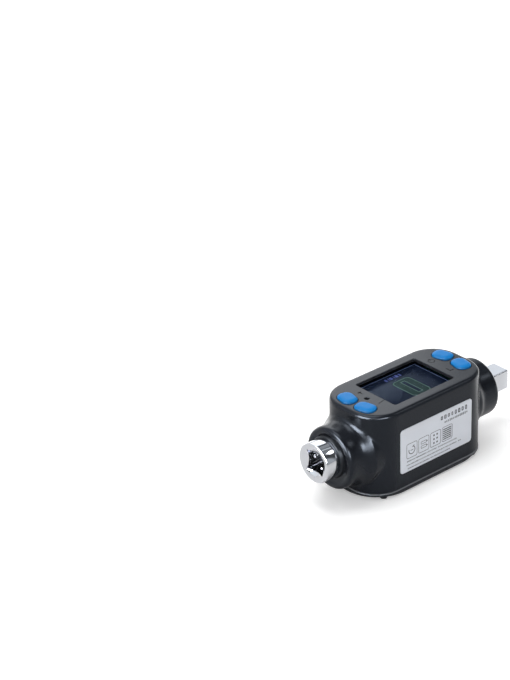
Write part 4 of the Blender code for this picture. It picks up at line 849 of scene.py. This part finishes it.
pale_lines = [frame_line(*digit, PALE_LINE, *line_film, **DIGIT),
              frame_line(slit_length + 2 * PALE_LINE, slit_width + 2 * PALE_LINE, SLIT_CORNER, PALE_LINE,
                         *line_film, **DIGIT)]
marks = [bar(length, MARK_HEIGHT, (BODY_X + along, MARK_ROW), *film) for along, length in MARKS]
for name, shape, look, colour in (("digit_fill", fill, "digit_green", (0.024, 0.050, 0.022)),
                                  ("digit_outline", merged(pale_lines), "digit_pale", (0.20, 0.30, 0.17)),
                                  ("display_marks", merged(marks), "mark_violet", (0.22, 0.22, 0.44))):
    piece(name, shape, moulded_look(look, colour, 0.3, **shown_ink))
piece("glass_edge_line", frame_line(*EDGE_LINE, *film, steps=4, centre=MIDDLE),
      moulded_look("glass_edge", (0.50, 0.52, 0.62), 0.2, rub_and_highlight=0.0, depth=0.0))

# Main board: a glass-fibre board under a green mask, screwed to four bosses under the panel. It carries the
# tactile switches with their plungers and the sounder.
TRACKS_PER_METRE = 420.0
solder_mask = moulded_look("solder_mask", (0.012, 0.12, 0.05), 0.3, cloud=0.5, rub_and_highlight=0.1, grain=900.0)
striped(solder_mask, "Y", TRACKS_PER_METRE, (0.02, 0.17, 0.08, 1), 0.45)
dress(solder_mask, "main_board")
dress(moulded_look("black_phenolic", (0.025, 0.025, 0.027), 0.45), "switch", "sounder")
dress(moulded_look("white_acetal", (0.60, 0.60, 0.56), 0.4, cloud=0.1, rub_and_highlight=0.0), "plunger")

# Power pack: a moulded black tray with two foil-jacketed cells in it, held between nickel-plated contacts.
# A red and a black lead run up to the board.
BANDS_PER_METRE = 24.0
dress(moulded_look("tray_plastic", (0.03, 0.031, 0.034), 0.55), "battery_tray")
cell_jacket = moulded_look("cell_jacket", (0.03, 0.09, 0.05), 0.25, grain=400.0)
striped(cell_jacket, "X", BANDS_PER_METRE, (0.55, 0.40, 0.12, 1), 0.3)
dress(cell_jacket, "cell_")
dress(metal_look("nickel_plate", (0.62, 0.60, 0.55), 0.25, lines=1500.0), "contact_spring", "terminal",
      "bridge")
dress(moulded_look("red_insulation", (0.42, 0.02, 0.02), 0.45, grain=2000.0), "battery_lead_near")
dress(moulded_look("black_insulation", (0.015, 0.015, 0.015), 0.45, grain=2000.0), "battery_lead_far")

# Base cover: a plate of the same nylon. Its rim stands a little proud of the housing and its edge catches the
# light, shown by a paler band painted along the top of the rim as a highlight. Below the rim its corners draw
# in round the bosses of the feet.
COVER_LOW = 0.0008
COVER_TOP = 0.0042
COVER_RIM = 0.0015
COVER_LEDGE = 0.0003
COVER_END_FLAT = 0.0021
COVER_ROUND = 0.0010
RIM_EDGE = 0.0005
RIM_STEPS = 5
RIM_HIGHLIGHT_LOW = 0.00365
RIM_PAINTED_HIGHLIGHT = (0.17, 0.175, 0.185, 1)
FOOT_SPREAD = (0.0728, 0.0397)
FOOT_BOSS_RADIUS = 0.0027
FOOT_PEG_RADIUS = 0.0011
SCREW_HEAD = 0.0024
SCREW_RADIUS = 0.00125
COVER_STEPS = 6
GROOVE_OUTER = (0.0940, 0.0475, 0.0178)
GROOVE_INNER = (0.0910, 0.0445, 0.0163)
GROOVE_LOW = 0.0031
FOOT_PEG_HOLE = 0.0023
cover_length, cover_width = BODY_LENGTH + 2 * COVER_LEDGE, BODY_WIDTH + 2 * COVER_LEDGE
rim_corner, low_corner = BODY_CORNER + COVER_LEDGE, (cover_width - COVER_END_FLAT) / 2
rise_start, rise_end = COVER_LOW + COVER_ROUND, COVER_TOP - COVER_RIM
levels = [(COVER_LOW + COVER_ROUND * drop, COVER_ROUND * inset, low_corner)
          for drop, inset in quarter_round(COVER_STEPS)[:0:-1]]
for step in range(COVER_STEPS + 1):
    share = step / COVER_STEPS
    ease = share * share * (3 - 2 * share)
    levels.append((rise_start + share * (rise_end - rise_start), 0.0,
                   low_corner + ease * (rim_corner - low_corner)))
levels += [(COVER_TOP - RIM_EDGE * drop, RIM_EDGE * inset, rim_corner)
           for drop, inset in quarter_round(RIM_STEPS)]
plate = stacked([(z, outline(cover_length - 2 * inset, cover_width - 2 * inset, corner - inset, 24,
                             centre=MIDDLE)) for z, inset, corner in levels])
boss_low, boss_top = COVER_LOW + GAP / 2, COVER_TOP - COVER_RIM / 2
foot_bosses = [upright_turned([(boss_low, FOOT_BOSS_RADIUS - GAP), (boss_low + GAP, FOOT_BOSS_RADIUS),
                               (boss_top, FOOT_BOSS_RADIUS)], spot, 40)
               for spot in corner_spots(FOOT_SPREAD)]
sink_end = COVER_LOW + GAP + SCREW_HEAD - SCREW_RADIUS
openings = [upright_turned([(0.0, SCREW_HEAD + GAP), (COVER_LOW + GAP, SCREW_HEAD + GAP),
                            (sink_end, SCREW_RADIUS + GAP), (COVER_TOP + GAP, SCREW_RADIUS + GAP)], spot)
            for spot in corner_spots(POST_SPREAD)]
openings += corner_rods(FOOT_PEG_RADIUS + GAP, 0.0, FOOT_PEG_HOLE, FOOT_SPREAD, 24)
seal_groove = ring_band(outline(*GROOVE_OUTER, 16, centre=MIDDLE), outline(*GROOVE_INNER, 16, centre=MIDDLE),
                        GROOVE_LOW, COVER_TOP + GAP)
bmesh.ops.recalc_face_normals(seal_groove, faces=seal_groove.faces)
# Its high rub amount paints a highlight along the cover's rounded edges, besides rubbing.
cover_nylon = moulded_look("cover_nylon", (0.0110, 0.0120, 0.0135), 0.26, cloud=0.3, rub_and_highlight=0.9, grain=5200.0,
                           depth=0.000008, specular=0.34, tint=NYLON_SHEEN)
# Painted highlight: a paler grey band round the top of the rim, where its edge catches the light.
striped(cover_nylon, "Z", 1 / RIM_HIGHLIGHT_LOW, RIM_PAINTED_HIGHLIGHT, COVER_TOP / RIM_HIGHLIGHT_LOW - 0.99)
piece("base_cover_plate", carved(plate, joined=[merged(foot_bosses)], cut=[merged(openings), seal_groove]),
      cover_nylon, ["base_cover"])

# Screws and feet: zinc-plated steel screws with a cross recess and a rolled thread hold the cover and the
# board. The feet are rubber buttons pushed into the cover. A blackened screw locks the shaft to the housing.
THREAD_PITCH = 0.0006
COVER_THREAD = (0.0045, 0.0129)
BOARD_THREAD = (0.0476, 0.0502)
BOARD_SCREW_RADIUS = 0.0010
LOCK_THREAD = (0.0165, 0.0230)
LOCK_HEAD = 0.0026
KEY_RADIUS = 0.00145
KEY_LEVELS = (0.0124, 0.0145)
FOOT_RADIUS = 0.0022
corner_tree, corner_in, corner_out = new_group("set_at_corners", "GeometryNodeTree", {
    "Form": "Geometry", "Spread Along": "Float", "Spread Across": "Float", "Centre": "Vector",
    "Finish": "Material"}, {"Pieces": "Geometry"})
corners = new_node(corner_tree, "GeometryNodeMeshGrid", {
    "Vertices X": 2, "Vertices Y": 2, "Size X": corner_in["Spread Along"],
    "Size Y": corner_in["Spread Across"]})


def set_on_points(tree, way_out, points, form, centre, finish, scale=(1.0, 1.0, 1.0)):
    """The end of a tree: one form set on each point, moved to its place, made real and given its finish."""
    shifted = new_node(tree, "GeometryNodeSetPosition", {"Geometry": points, "Offset": centre})
    setting = new_node(tree, "GeometryNodeInstanceOnPoints", {"Points": shifted.outputs[0], "Instance": form,
                                                              "Scale": scale})
    real = new_node(tree, "GeometryNodeRealizeInstances", {0: setting.outputs[0]})
    coat = new_node(tree, "GeometryNodeSetMaterial", {"Geometry": real.outputs[0], "Material": finish})
    feed(tree, way_out, {0: coat.outputs[0]})


set_on_points(corner_tree, corner_out, corners.outputs["Mesh"], corner_in["Form"], corner_in["Centre"],
              corner_in["Finish"])


def grown(shape, tree, values):
    """The form that a tree makes from a form and its named inputs."""
    seed = blank_object("seed", shape)
    step = seed.modifiers.new("grow", "NODES")
    step.node_group = tree
    for item in tree.interface.items_tree:
        if item.in_out == "INPUT" and item.name in values:
            step[item.identifier] = values[item.name]
    return settled(seed)


def at_corners(shape, spread, finish):
    return grown(shape, corner_tree, {"Spread Along": spread[0], "Spread Across": spread[1],
                                      "Centre": Vector((*MIDDLE, 0.0)), "Finish": finish})


def threaded(start, end, radius):
    """Crests of a thread along a shank, as (reach, radius) points."""
    root = radius - 0.4 * THREAD_PITCH
    points = []
    for turn in range(int((end - start) / THREAD_PITCH)):
        points += [(start + turn * THREAD_PITCH, root), (start + (turn + 0.5) * THREAD_PITCH, radius)]
    return points + [(end - GAP, root), (end, root - GAP)]


def cross_recess(head, size):
    """Two tapered bars that cut a cross recess from below."""
    return [stacked([(head - GAP, outline(size, size / 4, 0.00002, 1, turn=turn)),
                     (head + size / 3, outline(size * 0.6, size / 7, 0.00002, 1, turn=turn))])
            for turn in (0.0, math.pi / 2)]


zinc = metal_look("zinc_plate", (0.52, 0.53, 0.56), 0.30, smudge=0.3, spread=0.12)
cover_screw = [(0.0011, SCREW_HEAD - GAP / 3), (0.0012, SCREW_HEAD), (sink_end, SCREW_RADIUS)]
cover_screw += threaded(*COVER_THREAD, SCREW_RADIUS)
board_screw = [(0.0444, 0.0013), (0.0445, 0.0017), (0.0448, 0.0020), (0.0456, 0.0020),
               (0.0456, BOARD_SCREW_RADIUS)] + threaded(*BOARD_THREAD, BOARD_SCREW_RADIUS)
for name, profile, size, spread in (("cover_screw", cover_screw, 0.0026, POST_SPREAD),
                                    ("board_screw", board_screw, 0.0022, BOARD_SPREAD)):
    one = carved(upright_turned(profile), cut=cross_recess(profile[0][0], size))
    piece(f"{name}s", at_corners(one, spread, zinc), zinc, [f"{name}_{n}" for n in range(1, 5)])
foot = upright_turned([(GAP / 2, 0.0008), (0.0, 0.0011), (0.0, FOOT_RADIUS - 0.0004),
                       (0.0001, FOOT_RADIUS - 0.0001), (0.0003, FOOT_RADIUS), (0.0005, FOOT_RADIUS),
                       (0.0005, FOOT_PEG_RADIUS), (0.0020, FOOT_PEG_RADIUS)], steps=40)
piece("rubber_feet", at_corners(foot, FOOT_SPREAD, rubber), rubber,
      [f"foot_{n}" for n in range(1, 5)])
lock_profile = [(0.0127, LOCK_HEAD - GAP), (0.0130, LOCK_HEAD), (0.0157, LOCK_HEAD),
                (0.0157, LOCK_RADIUS)]
hexagon = [KEY_RADIUS * Vector((math.cos(math.pi / 3 * i), math.sin(math.pi / 3 * i))) for i in range(6)]
lock_screw = carved(upright_turned(lock_profile + threaded(*LOCK_THREAD, LOCK_RADIUS)),
                    cut=[stacked([(z, hexagon) for z in KEY_LEVELS])])
bmesh.ops.translate(lock_screw, vec=(LOCK_X, 0.0, 0.0), verts=lock_screw.verts)
piece("lock_screw_turned", lock_screw, metal_look("black_oxide", (0.10, 0.10, 0.11), 0.35, smudge=0.3),
      ["lock_screw"])

# Label plate: satin foil in its recess on the near side. Plain frames with simple signs, and rows of small
# blocks in place of lettering, are printed on it in dark grey.
LABEL_EDGE = 0.0001
INK = 0.00003
SIGN_FRAME = (0.0086, 0.0098, 0.0012, 0.0003)
SLOT_FRAME = (0.0046, 0.0018, 0.0004, 0.0003)
FIRST_SIGN = -0.0200
SIGN_PITCH = 0.0096
SIGN_ROW = -0.0011
TEXT_ROWS = ((0.0143, 0.0104, 0.0200, 0.0016, 0.0030, 0.15), (0.0160, 0.0069, 0.0180, 0.0009, 0.0016, 0.2),
             (-0.0036, -0.0078, 0.0400, 0.0006, 0.0009, 0.3), (-0.0020, -0.0102, 0.0440, 0.0006, 0.0009, 0.3),
             (-0.0060, -0.0126, 0.0340, 0.0006, 0.0009, 0.3))
NARROW_BLOCK = (0.6, 0.55, 1.0)
WIDE_BLOCK = (1.1, 1.0, 1.0)
BLOCK_PITCH = 1.4
standing = Matrix.Translation(LABEL_SPOT) @ Matrix.Rotation(math.pi / 2, 4, "X")


def on_label(shape):
    """Stands a flat form up on the label's face."""
    bmesh.ops.transform(shape, matrix=standing, verts=shape.verts)
    return shape


label_foil = moulded_look("satin_foil", (0.70, 0.73, 0.79), 0.36, cloud=0.12, rub_and_highlight=0.0, grain=2600.0,
                          depth=0.000004, metallic=0.12)
piece("label_foil_plate", on_label(slab(LABEL_LENGTH, LABEL_HEIGHT, LABEL_CORNER, -LABEL_DEPTH, 0.0,
                                        LABEL_EDGE, steps=12)), label_foil, ["label_plate"])
label_ink = moulded_look("label_ink", (0.03, 0.032, 0.04), 0.5, rub_and_highlight=0.0, grain=3000.0, depth=0.000002)
columns = [FIRST_SIGN + SIGN_PITCH * column for column in range(4)]
ink = (-INK, INK)
print_forms = [frame_line(*SIGN_FRAME, *ink, steps=4, centre=(column, SIGN_ROW)) for column in columns]
bow_outer, bow_inner = (arc((columns[0], SIGN_ROW), reach, -200, 60, 20) for reach in (0.0027, 0.0022))
print_forms.append(ring_band(bow_outer + bow_inner[::-1], bow_inner + bow_inner[::-1], *ink))
print_forms += [bar(0.0018, 0.0005, (columns[0] + 0.0012, SIGN_ROW + 0.0023), *ink, 0.6),
                bar(0.0022, 0.0004, (columns[0], SIGN_ROW), *ink)]
for row in (-0.0014, 0.0014):
    print_forms += [frame_line(*SLOT_FRAME, *ink, steps=3, centre=(columns[1], SIGN_ROW + row)),
                    bar(0.0006, 0.0008, (columns[1] + 0.0027, SIGN_ROW + row), *ink)]
print_forms += [bar(0.0011, 0.0011, (columns[2] + x, SIGN_ROW + y), *ink)
                for x in (-0.0013, 0.0013) for y in (-0.0026, 0.0, 0.0026)]
print_forms += [bar(0.0068, 0.0007, (columns[3], SIGN_ROW - 0.0033 + 0.0013 * n), *ink) for n in range(6)]
piece("label_signs", on_label(merged(print_forms)), label_ink)

letters_tree, letters_in, letters_out = new_group("rows_of_blocks", "GeometryNodeTree", {
    "Block": "Geometry", "Row Length": "Float", "Blocks": "Int", "Spaces": "Float", "Seed": "Int",
    "Centre": "Vector", "Finish": "Material"}, {"Print": "Geometry"})
row_points = new_node(letters_tree, "GeometryNodeMeshGrid", {
    "Size X": letters_in["Row Length"], "Size Y": 0.0, "Vertices X": letters_in["Blocks"], "Vertices Y": 2})
chance = new_node(letters_tree, "FunctionNodeRandomValue", {"Seed": letters_in["Seed"]}, data_type="FLOAT")
widths = new_node(letters_tree, "FunctionNodeRandomValue", {
    "Min": NARROW_BLOCK, "Max": WIDE_BLOCK, "Seed": letters_in["Seed"]}, data_type="FLOAT_VECTOR")
spaced = maths(letters_tree, "LESS_THAN", chance.outputs[1], letters_in["Spaces"])
kept = new_node(letters_tree, "GeometryNodeDeleteGeometry", {
    "Geometry": row_points.outputs["Mesh"], "Selection": spaced}, domain="POINT")
set_on_points(letters_tree, letters_out, kept.outputs[0], letters_in["Block"], letters_in["Centre"],
              letters_in["Finish"], widths.outputs[0])
rows = []
for number, (along, height, row_length, block_length, block_height, spaces) in enumerate(TEXT_ROWS):
    block = frame_line(block_length, block_height, block_length / 3, block_length / 3.2, *ink, steps=3)
    rows.append(grown(block, letters_tree, {
        "Row Length": row_length, "Blocks": int(row_length / block_length / BLOCK_PITCH),
        "Spaces": spaces / 2, "Seed": number, "Centre": Vector((along, height, 0.0)), "Finish": label_ink}))
piece("label_text_rows", on_label(merged(rows)), label_ink)
